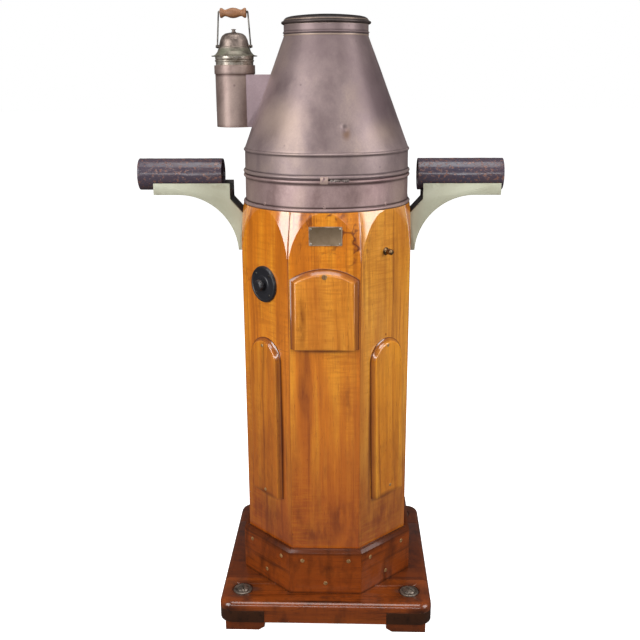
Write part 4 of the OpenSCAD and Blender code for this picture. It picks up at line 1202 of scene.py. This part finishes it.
def make_hood():
    cyl_top = HOOD_CYL_TOP
    cone_z = cyl_top + 3
    cone_r, top_r = RING_R + 0.2, HOOD_TOP_R
    sheet = 1.5
    skirt = 183.2
    outer = [(skirt, STAVE_TOP + 0.4), (skirt, HOOD_Z + 0.2)]
    outer += arc(RING_R, HOOD_Z + 4, 4, -88, 78, 14)
    outer += dense([(RING_R, HOOD_Z + 8.6), (RING_R, cyl_top - 4)], 4, closed=False)
    outer += arc(RING_R - 0.5, cyl_top - 0.2, 3.2, -75, 84, 12)
    outer += dense([(cone_r - 0.4, cone_z + 0.8), (top_r, CONE_TOP)], 3.6, closed=False)
    inner = [(top_r - sheet, CONE_TOP)]
    inner += dense([(top_r - sheet, CONE_TOP - 2), (cone_r - sheet, cone_z)], 14, closed=False)
    inner += [(RING_R - sheet, cyl_top - 1), (RING_R - sheet, HOOD_Z + 3), (skirt - sheet, HOOD_Z + 1),
              (skirt - sheet, STAVE_TOP + 0.4)]
    uneven = rippled(0.9, HOOD_Z + 10, CONE_TOP - 3, 0.4)

    def warp(a, r, z):
        r2, z2 = uneven(a, r, z)
        gap = math.hypot((a - DENT[0] - (2 * math.pi if a > math.pi else 0)) * r, z - DENT[1])
        return r2 - 3.4 * math.exp(-(gap / 7.5) ** 2), z2
    shell = lathe("hood", outer + inner, 224, warp=warp)
    cut(shell, block("light", (LAMP_X, -30, POCKET_Z + 1.6), (-top_r, 30, POCKET_Z + 106)))

    # the spot just below the dent is painted shade; the foot where the hood sits is darker too
    def stain(p):
        a = math.atan2(p.y, p.x)
        spot = math.hypot((a - DENT[0]) * math.hypot(p.x, p.y), p.z - DENT[1] + 7)
        worn = 0.9 if p.z < HOOD_Z + 1.0 else 0.0
        return max(worn, math.exp(-(spot / 4.5) ** 2) * 0.9)
    tag(shell, "shade", stain)
    piece(shell, "hood", "oxidised_copper", HOOD_COPPER, "hood_shell", crease=34)


def make_hood_collar():
    top_r = HOOD_TOP_R
    collar = [(top_r - 1, CONE_TOP), (top_r + 1.4, CONE_TOP), (top_r + 1.6, CONE_TOP + 1.6),
              (top_r + 0.6, CONE_TOP + 2.4)]
    collar += arc(top_r + 0.5, CONE_TOP + 6, 2, -80, 80, 8)
    collar += dense([(top_r + 0.5, CONE_TOP + 8.4), (top_r + 0.5, COLLAR_TOP - 0.6)], 4, closed=False)
    collar += [(top_r, COLLAR_TOP), (top_r - 0.6, COLLAR_TOP), (top_r - 1, COLLAR_TOP - 0.5)]
    ring = lathe("collar", collar, 160)
    piece(ring, "hood", "oxidised_copper", HOOD_COPPER, "hood_collar", crease=34)


def make_pocket():
    collar_z = POCKET_TOP - 19
    outline = [(0, POCKET_Z), (43.0, POCKET_Z), (43.4, POCKET_Z + 0.5), (43.4, collar_z - 0.4),
               (43.9, collar_z), (44.9, collar_z + 0.4), (45.2, collar_z + 1.2), (45.2, POCKET_TOP - 1.2),
               (44.9, POCKET_TOP - 0.3), (44.2, POCKET_TOP), (0, POCKET_TOP)]
    body = lathe("pocket", dense(outline, 6), 112, (LAMP_X, 0))
    top = POCKET_Z + 113
    box = soften(block("box", (LAMP_X, -33, POCKET_Z + 0.3), (-90, 33, top)), 0.8, 2)
    cut(body, box, operation="UNION")
    bore = drum("bore", 42.2, POCKET_Z + 1.5, POCKET_TOP + 20, (LAMP_X, 0), 96)
    room = block("room", (LAMP_X, -31.8, POCKET_Z + 1.4), (-60, 31.8, top - 1.2))
    cone = lathe("cone", [(0, HOOD_CYL_TOP), (RING_R + 0.6, HOOD_CYL_TOP + 3), (92.9, CONE_TOP),
                          (0, CONE_TOP)], 160)
    cut(body, bore, room, cone)

    def seams(p):
        near_top = abs(p.z - collar_z) < 0.9
        near_foot = p.z < POCKET_Z + 0.6 and p.x < LAMP_X + 20
        return 0.7 if near_top or near_foot else 0.0
    tag(body, "shade", seams)
    two_tone(body, LAMP_COPPER, BOX_COPPER,
             lambda f: abs(abs(f.center.y / MM) - 33) < 0.6 and abs(f.normal.y) > 0.9)
    piece(body, "hood", "oxidised_copper", LAMP_COPPER, "lamp_pocket", crease=34)


def make_lid():
    rim_z = COLLAR_TOP + 3.6
    step_z, top, big = rim_z + 7.4, rim_z + 18.1, 620
    flat = [(r, top - big + math.sqrt(big * big - r * r)) for r in range(0, 81, 8)]
    edge = [(86.5, top - 6.9, 4), (90.5, top - 9.2, 2), (92.7, top - 12.2, 0.8), (92.9, step_z - 1.4)]
    outer = rounded(flat + edge, 4, closed=False)
    outer += arc(95.2, rim_z, 3.2, 118, -120, 18)
    inner = [(93.0, rim_z - 1.6), (93.0, rim_z + 1.6), (91.4, step_z - 1.6)]
    skirt = [(90.9, step_z - 1.8), (90.9, COLLAR_TOP - 13), (89.4, COLLAR_TOP - 13), (89.4, step_z - 1.4),
             (84, top - 8.6), (0, top - 2)]
    lid = lathe("lid", outer + inner + skirt, 160)
    # the domed top is painted near black as a painted dark reflection, and the band below it half as dark
    tag(lid, "shade", lambda p: 1.0 if p.z > top - 7.5 else (0.35 if p.z > top - 10 else 0.0))
    piece(lid, "lid", "lid_copper", LID_COPPER, "top_lid", crease=34)


# ---------------------------------------------------------------- lamp
EAR_Z = BOARD_TOP + 1243
EAR_X = 36.7
GRIP_Z = (low("bail_grip")[2] + high("bail_grip")[2]) / 2


def make_lamp():
    r, top = 41.0, LAMP_TOP
    neck = POCKET_TOP
    outer = [(0, LAMP_Z), (r - 0.6, LAMP_Z), (r, LAMP_Z + 0.6)]
    outer += dense([(r, LAMP_Z + 3), (r, neck - 1)], 8, closed=False)
    outer += [(r + 0.5, neck + 0.6), (r + 0.6, neck + 6.0), (r + 0.9, neck + 7.0)]
    outer += arc(r + 0.2, neck + 9.4, 2.2, -70, 80, 8)
    outer += [(r + 1.2, neck + 12.4), (r + 1.6, neck + 15), (r + 2.0, top)]
    inner = [(r - 1.2, top), (r - 1.2, LAMP_Z + 1.5), (0, LAMP_Z + 1.5)]
    body = lathe("lamp", outer + inner, 112, (LAMP_X, 0))
    cut(body, block("window", (LAMP_X, -22, LAMP_Z + 30), (LAMP_X + 90, 22, LAMP_Z + 94)))
    two_tone(body, LAMP_COPPER, RUBBED_BRASS, lambda f: f.center.z / MM > neck + 0.5)
    piece(body, "lamp", "oxidised_copper", LAMP_COPPER, "lamp_body", crease=34)


def make_lamp_cap():
    z = LAMP_TOP
    dome = rounded([(40.2, z), (50.2, z), (50.7, z + 0.9, 0.5), (50.2, z + 1.9, 0.5), (45.5, z + 2.3, 2),
                    (41.5, z + 4.6, 6), (37.0, z + 10.5, 8), (34.6, z + 17.5, 4), (34.2, z + 20.2, 0.6),
                    (33.0, z + 21.0, 0.8), (32.6, z + 25, 8), (30.2, z + 35, 12), (26, z + 43.5, 10),
                    (19, z + 48.4, 8), (9.5, z + 50.2, 3), (5.0, z + 50.6, 0.6), (5.0, z + 52.4, 0.5),
                    (3.4, z + 53, 0.5), (3.4, z + 55.2, 0.5), (5.4, z + 55.8, 0.8), (5.4, z + 57.2, 0.8),
                    (0, z + 58)], 5)
    inner = [(0, z + 47.5), (18, z + 46), (28, z + 35), (31.2, z + 23), (32.6, z + 17), (38, z + 6),
             (40.2, z + 2)]
    cap = lathe("lamp_top", dome + inner, 112, (LAMP_X, 0))
    ears = []
    for s in (-1, 1):
        ear = lathe("ear", rounded([(0, 31.5), (3.6, 31.5), (3.6, 34.2, 0.6), (2.2, 34.6), (2.2, 39.1),
                                    (3.4, 39.1, 0.5), (3.4, 40.4, 1.0), (0, 41)], 3), 32)
        place(ear, shift(LAMP_X, 0, EAR_Z) @ along_x(s))
        ears.append(ear)

    cap = join("lamp_top", [cap] + ears)
    tag(cap, "shade", lambda p: 0.35 if 20 < p.z - z < 21.6 else 0.0)
    piece(cap, "lamp", "verdigris_copper", CAP_VERDIGRIS, "lamp_cap", crease=30)


def make_bail():
    """A wire with an eye at each foot and a small shoulder at each end of the turned grip."""
    half = [(EAR_X, EAR_Z + 3.6)]
    half += [(EAR_X + (32.5 - EAR_X) * i / 8, EAR_Z + 4 + (GRIP_Z - EAR_Z - 5.5) * i / 8)
             for i in range(1, 9)]
    half += [(32.4, GRIP_Z + 1.0), (32.0, GRIP_Z + 2.8), (31.1, GRIP_Z + 3.6), (30.2, GRIP_Z + 2.9),
             (29.5, GRIP_Z + 1.4), (28.9, GRIP_Z + 0.4), (27.6, GRIP_Z)]
    left = [(LAMP_X - x, 0, zz) for x, zz in half]
    right = [(LAMP_X + x, 0, zz) for x, zz in reversed(half)]
    wire = sweep("bail", left + right, 1.7, 14)
    ring = oval(3.25, 0, 0.95, 1.8, range(0, 360, 30))
    eyes = [place(lathe("eye", ring, 32), shift(LAMP_X + x, 0, EAR_Z) @ ALONG_X) for x in (-EAR_X, EAR_X)]
    wire = join("bail", [wire] + eyes)
    piece(wire, "bail", "dark_steel", DARK_STEEL, "bail_wire", crease=50)

    shape = [(1.76, -28.5), (9.4, -28.5), (10.3, -27.6), (10.6, -26), (10.3, -24.2), (9.3, -22.6),
             (7.6, -20.2), (6.9, -17.6), (7.3, -14.6), (8.8, -10.6), (10.3, -6), (11.0, 0)]
    shape += [(rr, -x) for rr, x in reversed(shape[:-1])]
    grip = lathe("grip", shape, 48)
    place(grip, shift(LAMP_X, 0, GRIP_Z) @ ALONG_X)
    grain(grip, (1, 0, 0), (0, 1, 0), 71)
    piece(grip, "grip", "grip_wood", GRIP_WOOD, "bail_grip", crease=40)


def verdigris():
    """Dark copper with green patina on its lower, flared part."""
    g = Graph("cap_verdigris")
    v = g.place()
    cloud = g.noise(v, 42.0, 5.0, 0.62, 0.5)
    fine = g.noise(v, 300.0, 4.0, 0.6)
    base = g.ramp(cloud, (0.3, srgb(78, 68, 62)), (0.52, srgb(132, 118, 110)), (0.72, srgb(170, 154, 144)))
    height = g.axis(v, 2)
    flare = g.band(height, (LAMP_TOP + 22) * MM, (LAMP_TOP + 15) * MM)
    green = g.times(g.band(cloud, 0.36, 0.6, 0.35, 0.95), flare)
    base = g.mix(green, base, g.mix(fine, srgb(86, 88, 72), srgb(116, 114, 96)))
    bend = g.attribute("bend")
    # darker in hollows: oxide and painted shade
    base = g.mix(g.band(bend, 0.03, 0.2, 0.0, 0.85), base, srgb(46, 40, 34))
    metal = g.band(green, 0.1, 0.7, 0.85, 0.35)
    return g.surface(Base_Color=base, Metallic=metal, Roughness=g.band(cloud, 0.3, 0.7, 0.34, 0.55),
                     Normal=g.bump(fine, 0.1, 0.0005))


CAP_VERDIGRIS = verdigris()


# ---------------------------------------------------------------- brackets and correctors
def make_brackets():
    foot, knee0, knee1 = low("bracket_cheeks")[2], 953, 984
    top = high("bracket_cheeks")[2]
    x_in, x_out = 218, high("bracket_cheeks")[0]
    arc_x, arc_z, arc_r = 336, 860, 134
    y_in, y_out = 32.3, high("bracket_cheeks")[1]
    start = math.degrees(math.asin((foot - arc_z) / arc_r))
    outline = [(COL_A, foot), (COL_A, knee0), (x_in, knee1), (x_in, top), (x_out, top, 1.5),
               (x_out, arc_z + arc_r), (arc_x, arc_z + arc_r)]
    outline += [(x, z) for x, z in arc(arc_x, arc_z, arc_r, 90, 180 - start, 40)][1:]
    cheeks = []
    for s in (-1, 1):
        for y0, y1 in ((-y_out, -y_in), (y_in, y_out)):
            pts = [(s * x, z) for x, z in rounded(outline, 4)]
            cheek = soften(plate("cheek", pts, y0, y1), 0.9, 2, 40)

            def is_black(f):
                if abs(f.normal.y) > 0.6:
                    return f.normal.y * (y0 + y1) <= 0
                return f.center.z >= (arc_z + arc_r - 1) * MM
            cheeks.append(two_tone(cheek, GREY_PAINT, BLACK_PAINT, is_black))
    piece(join("cheeks", cheeks), "binnacle", "grey_paint", GREY_PAINT, "bracket_cheeks", crease=35)

    floor_z, t, w = 1001, 5, 6
    webs = []
    for s in (-1, 1):
        pts = [(COL_A, foot), (COL_A + w, foot), (COL_A + w, knee0 - 2, 3), (x_in + w, knee1 - 2, 3),
               (x_in + w, floor_z - t, 3), (x_out, floor_z - t), (x_out, floor_z), (x_in, floor_z, 4),
               (x_in, knee1, 4), (COL_A, knee0, 2)]
        web = plate("web", [(s * x, z) for x, z in rounded(pts, 4)], -y_in, y_in)
        slot = [(s * x, y) for x, y in arc(360, 0, 5.8, -90, 90, 16) + arc(292, 0, 5.8, 90, 270, 16)]
        hole = loft("slot", [[(x, y, z) for x, y in slot] for z in (floor_z - 20, floor_z + 20)])
        holes = [place(drum("bolt", 5, COL_A - 30, COL_A + 30, seg=24), shift(0, 0, z) @ along_x(s))
                 for z in BRACKET_BOLT_Z]
        cut(web, hole, *holes)
        webs.append(soften(web, 0.6, 1, 40))
    piece(join("webs", webs), "binnacle", "black_paint", BLACK_PAINT, "bracket_webs", crease=35)


def make_tubes():
    for side, name in ((-1, "left"), (1, "right")):
        node, clamp = name + "_corrector_tube", name + "_tube_clamp"
        lo, hi = low(node)[0], high(node)[0]
        r = TUBE_R
        length = hi - lo
        outline = rounded([(r, 0, 0.8), (r, length, 0.8), (r - 4, length, 0.6), (r - 4, 0, 0.6)], 3)
        outline = dense(outline, 6)
        seed = 2.0 + side

        def crust(a, rr, h, seed=seed):
            spot = Vector((math.cos(a) * 3, math.sin(a) * 3, h / 14 + seed))
            return rr + (0.35 * noise.noise(spot) - 0.3 if rr > r - 1 else 0.0), h
        tube = place(lathe("tube", outline, 112, warp=crust), shift(lo, 0, TUBE_Z) @ ALONG_X)
        tube.name = name + "_tube"
        mid = (low(clamp)[0] + high(clamp)[0]) / 2
        cut(tube, drum("hole", 4, TUBE_Z - 60, TUBE_Z, (mid, 0), 24))
        piece(tube, name + "_corrector", "tube_paint", TUBE_PAINT, node, crease=34)


# ---------------------------------------------------------------- compass
def make_card():
    z, r = CARD_Z, high("compass_card")[0]
    outline = [(3.5, z - 8), (10, z - 8, 1), (10, z - 0.8, 1), (r - 0.4, z), (r, z + 0.6), (r - 0.4, z + 1.2),
               (8.5, z + 1.2, 1), (7, z + 3, 1), (3, z + 6.2, 1), (0, z + 6.2), (0, z - 4), (3.5, z - 4)]
    card = two_tone(lathe("card", rounded(outline, 3), 128), CARD_PAPER, CARD_INK, lambda f: False)
    marks = []
    ink = z + 1.25

    def mark(points, turn=0):
        """A thin inked shape, its points given at the card's right and then turned."""
        c, s = math.cos(turn), math.sin(turn)
        m = loft("mark", [[(c * q - s * w, s * q + c * w, h) for q, w in points] for h in (z + 1.1, ink)])
        marks.append(two_tone(m, CARD_PAPER, CARD_INK, lambda f: True))
    for d in range(0, 360, 5):
        a = math.radians(d)
        long = 9 if d % 10 == 0 else 5
        wide = 0.7 if d % 10 == 0 else 0.35
        mark([(r - 3, -wide), (r - 3, wide), (r - 3 - long, wide), (r - 3 - long, -wide)], a)
    for d in range(0, 360, 45):
        a = math.radians(d + 90)
        tip, wing = (66, 9) if d % 90 == 0 else (50, 7)
        mark([(tip, 0), (12, wing * 0.5), (12, 0)], a)
        mark([(tip, 0), (14, 0), (22, -wing), (30, -wing * 0.6)], a)
    mark([(0, 82), (-6, 72), (0, 75)])
    mark([(0, 82), (0, 75), (6, 72)])
    ring = lathe("ring", [(r - 2.4, z + 1.1), (r - 2.0, z + 1.1), (r - 2.0, ink), (r - 2.4, ink)], 128)
    two_tone(ring, CARD_PAPER, CARD_INK, lambda f: True)
    piece(join("card", [card] + marks + [ring]), "card", "card_paper", CARD_PAPER, "compass_card", crease=30)


def make_bowl():
    """The bowl, white inside, with its pins, verge ring and gimbal ring."""
    floor, rim, r = low("compass_bowl")[2], high("compass_bowl")[2], high("compass_bowl")[0]
    g_z = (low("gimbal_ring")[2] + high("gimbal_ring")[2]) / 2
    outline = rounded([(0, floor), (45, floor, 8), (80, floor + 15, 20), (105, floor + 40, 20),
                       (r, floor + 70, 12), (r, rim, 0.6), (r - 3, rim, 0.6), (r - 3, floor + 71, 12),
                       (102, floor + 42, 20), (78, floor + 18, 6), (5, floor + 18), (5, floor + 54, 1),
                       (2.5, floor + 56), (2.5, floor + 82, 1), (0, floor + 83)], 5)

    def is_white(f):
        c = f.center / MM
        radius = math.hypot(c.x, c.y)
        return 6 < radius < r - 2.5 and floor + 17 < c.z < rim - 0.4 and f.normal.z > -0.3
    parts = [two_tone(lathe("bowl", outline, 144), BRASS, BOWL_WHITE, is_white)]
    for s in (-1, 1):
        pin = place(drum("pin", 4, r - 1, high("gimbal_ring")[1] - 0.5, seg=32),
                    shift(0, 0, g_z) @ turn_z(90 * (1 + s)) @ UPRIGHT)
        pin.data.materials.append(BRASS)
        parts.append(pin)
    lubber = drum("lubber", 1.4, g_z - 24, g_z + 3, (0, -r + 4.2), 20)
    lubber.data.materials.append(CARD_INK)
    parts.append(lubber)
    piece(join("bowl", parts), "bowl", "brass", BRASS, "compass_bowl", crease=34)

    v_in, v_out = r - 6, r + 6
    verge = lathe("verge", rounded([(v_in, rim), (v_out, rim, 0.6), (v_out, rim + 4.4, 1.2),
                                    (v_out - 2.4, rim + 6, 1), (v_in + 1.6, rim + 6, 1),
                                    (v_in, rim + 4.6, 0.8)], 4), 160)
    verge.data.materials.append(BRASS)
    head = screw_head(2.6, 1.0, 4)
    heads = [copy_of(head, turn_z(45 * k + 22.5) @ shift(0, -r - 0.5, rim + 5.9) @ UPRIGHT.inverted())
             for k in range(8)]
    for h in heads:
        h.data.materials.append(BRASS)
    bpy.data.objects.remove(head)
    piece(join("verge", [verge] + heads), "bowl", "brass", BRASS, "verge_ring", crease=34)

    r_in, r_out, half = r + 9, r + 18, 8
    hoop = lathe("hoop", rounded([(r_in, g_z - half, 1), (r_out, g_z - half, 1), (r_out, g_z + half, 1),
                                  (r_in, g_z + half, 1)], 3), 160)
    for s in (-1, 1):
        pin = drum("pin", 4, r_in + 2, high("gimbal_ring")[0], seg=32)
        cut(hoop, place(pin, shift(0, 0, g_z) @ along_x(s)), operation="UNION")
    cut(hoop, place(drum("hole", 4.06, -200, 200, seg=32), shift(0, 0, g_z) @ UPRIGHT))
    piece(hoop, "gimbal", "brass", BRASS, "gimbal_ring", crease=34)


NODE_MATERIALS = {
    "brass": BRASS, "dark_steel": DARK_STEEL, "inner_wood": INNER_WOOD, "clear_glass": GLASS,
    "red_paint": RED_PAINT, "wick_cotton": WICK_COTTON, "black_paint": BLACK_PAINT, "grey_paint": GREY_PAINT,
    "oxidised_copper": HOOD_COPPER, "varnished_wood": COLUMN_WOOD, "base_wood": BASE_WOOD,
    "bearer_wood": BEARER_WOOD, "black_bakelite": BAKELITE, "tube_paint": TUBE_PAINT,
    "lid_copper": LID_COPPER, "verdigris_copper": CAP_VERDIGRIS, "card_paper": CARD_PAPER,
    "grip_wood": GRIP_WOOD,
}


def dress_frame():
    """Gives each CAD node that stays its material."""
    slots = {part["node"]: part["material_slot"] for part in frame["record"]["subparts"]}
    for name, obj in frame["nodes"].items():
        material = NODE_MATERIALS[slots[name]]
        for s in obj.material_slots:
            s.link = "OBJECT"
            s.material = material
        if not obj.material_slots:
            obj.data.materials.append(material)


make_base()
make_caps()
make_column()
make_door()
make_side_panels()
make_lock()
make_nameplate()
make_screws()
make_switch()
make_peg()
make_seat_ring()
make_solder()
make_hood()
make_hood_collar()
make_pocket()
make_lid()
make_lamp()
make_lamp_cap()
make_bail()
make_brackets()
make_tubes()
make_card()
make_bowl()
dress_frame()


# ---------------------------------------------------------------- stage, lights and camera
ROOM_LIGHT = 0.13     # brightness of the room as the binnacle sees it
FLOOR_GIVES = 0.1     # how much light the floor throws back


def seen_or_lit(tree, seen, lit, out):
    """One shader for what the camera sees, and a dimmer one for the light that reaches the binnacle."""
    either = tree.nodes.new("ShaderNodeMixShader")
    direct = tree.nodes.new("ShaderNodeLightPath")
    tree.links.new(direct.outputs["Is Camera Ray"], either.inputs[0])
    tree.links.new(lit.outputs[0], either.inputs[1])
    tree.links.new(seen.outputs[0], either.inputs[2])
    tree.links.new(either.outputs[0], out.inputs[0])


def make_stage():
    """A pale floor in a white room that gives little light of its own: the lamps do that."""
    mesh = bpy.data.meshes.new("floor")
    far = 30
    mesh.from_pydata([(-far, -far, 0), (far, -far, 0), (far, far, 0), (-far, far, 0)], [], [(0, 1, 2, 3)])
    floor = add_object("floor", mesh)
    g = Graph("floor_paint")
    n = g.noise(g.place(), 3.0, 3.0)
    floor.data.materials.append(g.surface(Base_Color=g.mix(n, (0.86, 0.86, 0.86, 1), (0.9, 0.9, 0.9, 1)),
                                          Roughness=0.9, Emission_Color=(1, 1, 1, 1), Emission_Strength=1.0))
    dim = g.node("ShaderNodeBsdfDiffuse", None, Color=(FLOOR_GIVES, FLOOR_GIVES, FLOOR_GIVES, 1))
    seen_or_lit(g.tree, g.shader, dim, g.out)
    world = bpy.data.worlds.new("studio")
    bpy.context.scene.world = world
    world.use_nodes = True
    tree = world.node_tree
    room = tree.nodes["Background"]
    room.inputs[0].default_value = (1, 1, 1, 1)
    room.inputs[1].default_value = ROOM_LIGHT
    seen = tree.nodes.new("ShaderNodeBackground")
    seen.inputs[0].default_value = (1, 1, 1, 1)
    seen_or_lit(tree, seen, room, tree.nodes["World Output"])
    bpy.context.scene.view_settings.view_transform = "Standard"


def soft_light(name, at, target, width, height, power):
    data = bpy.data.lights.new(name, "AREA")
    data.shape = "RECTANGLE"
    data.size, data.size_y = width, height
    data.energy = power
    lamp = add_object(name, data)
    lamp.location = at
    lamp.rotation_euler = (Vector(target) - Vector(at)).to_track_quat("-Z", "Y").to_euler()


# the camera, fitted to the photograph: place in metres, looking down, left and tilted, in degrees
CAMERA_AT = (0.05225, -1.9964, 1.2552)
CAMERA_TURN = (15.81, -1.98, -0.30)
LENS = 48.67


def make_camera():
    pitch, yaw, roll = (math.radians(a) for a in CAMERA_TURN)
    forward = Vector((math.sin(yaw) * math.cos(pitch), math.cos(yaw) * math.cos(pitch), -math.sin(pitch)))
    right = Vector((math.cos(yaw), -math.sin(yaw), 0))
    up = right.cross(forward)
    r2 = right * math.cos(roll) + up * math.sin(roll)
    u2 = up * math.cos(roll) - right * math.sin(roll)
    data = bpy.data.cameras.new("camera")
    data.sensor_width = 36
    data.lens = LENS
    data.clip_end = 100
    cam = add_object("camera", data)
    m = Matrix((r2, u2, -forward)).transposed().to_4x4()
    m.translation = Vector(CAMERA_AT)
    cam.matrix_world = m
    bpy.context.scene.camera = cam


make_stage()
soft_light("key_left", (-2.25, -2.0, 1.7), (0, 0, 0.9), 1.6, 2.8, 93)
soft_light("key_right", (2.75, -1.2, 1.7), (0, 0, 0.9), 1.7, 2.8, 78)
soft_light("overhead", (0.0, -0.6, 3.6), (0, 0, 0.9), 2.0, 2.0, 55)
soft_light("front_strip", (0.0, -2.7, 1.35), (0, 0, 1.0), 2.4, 0.35, 19)
make_camera()
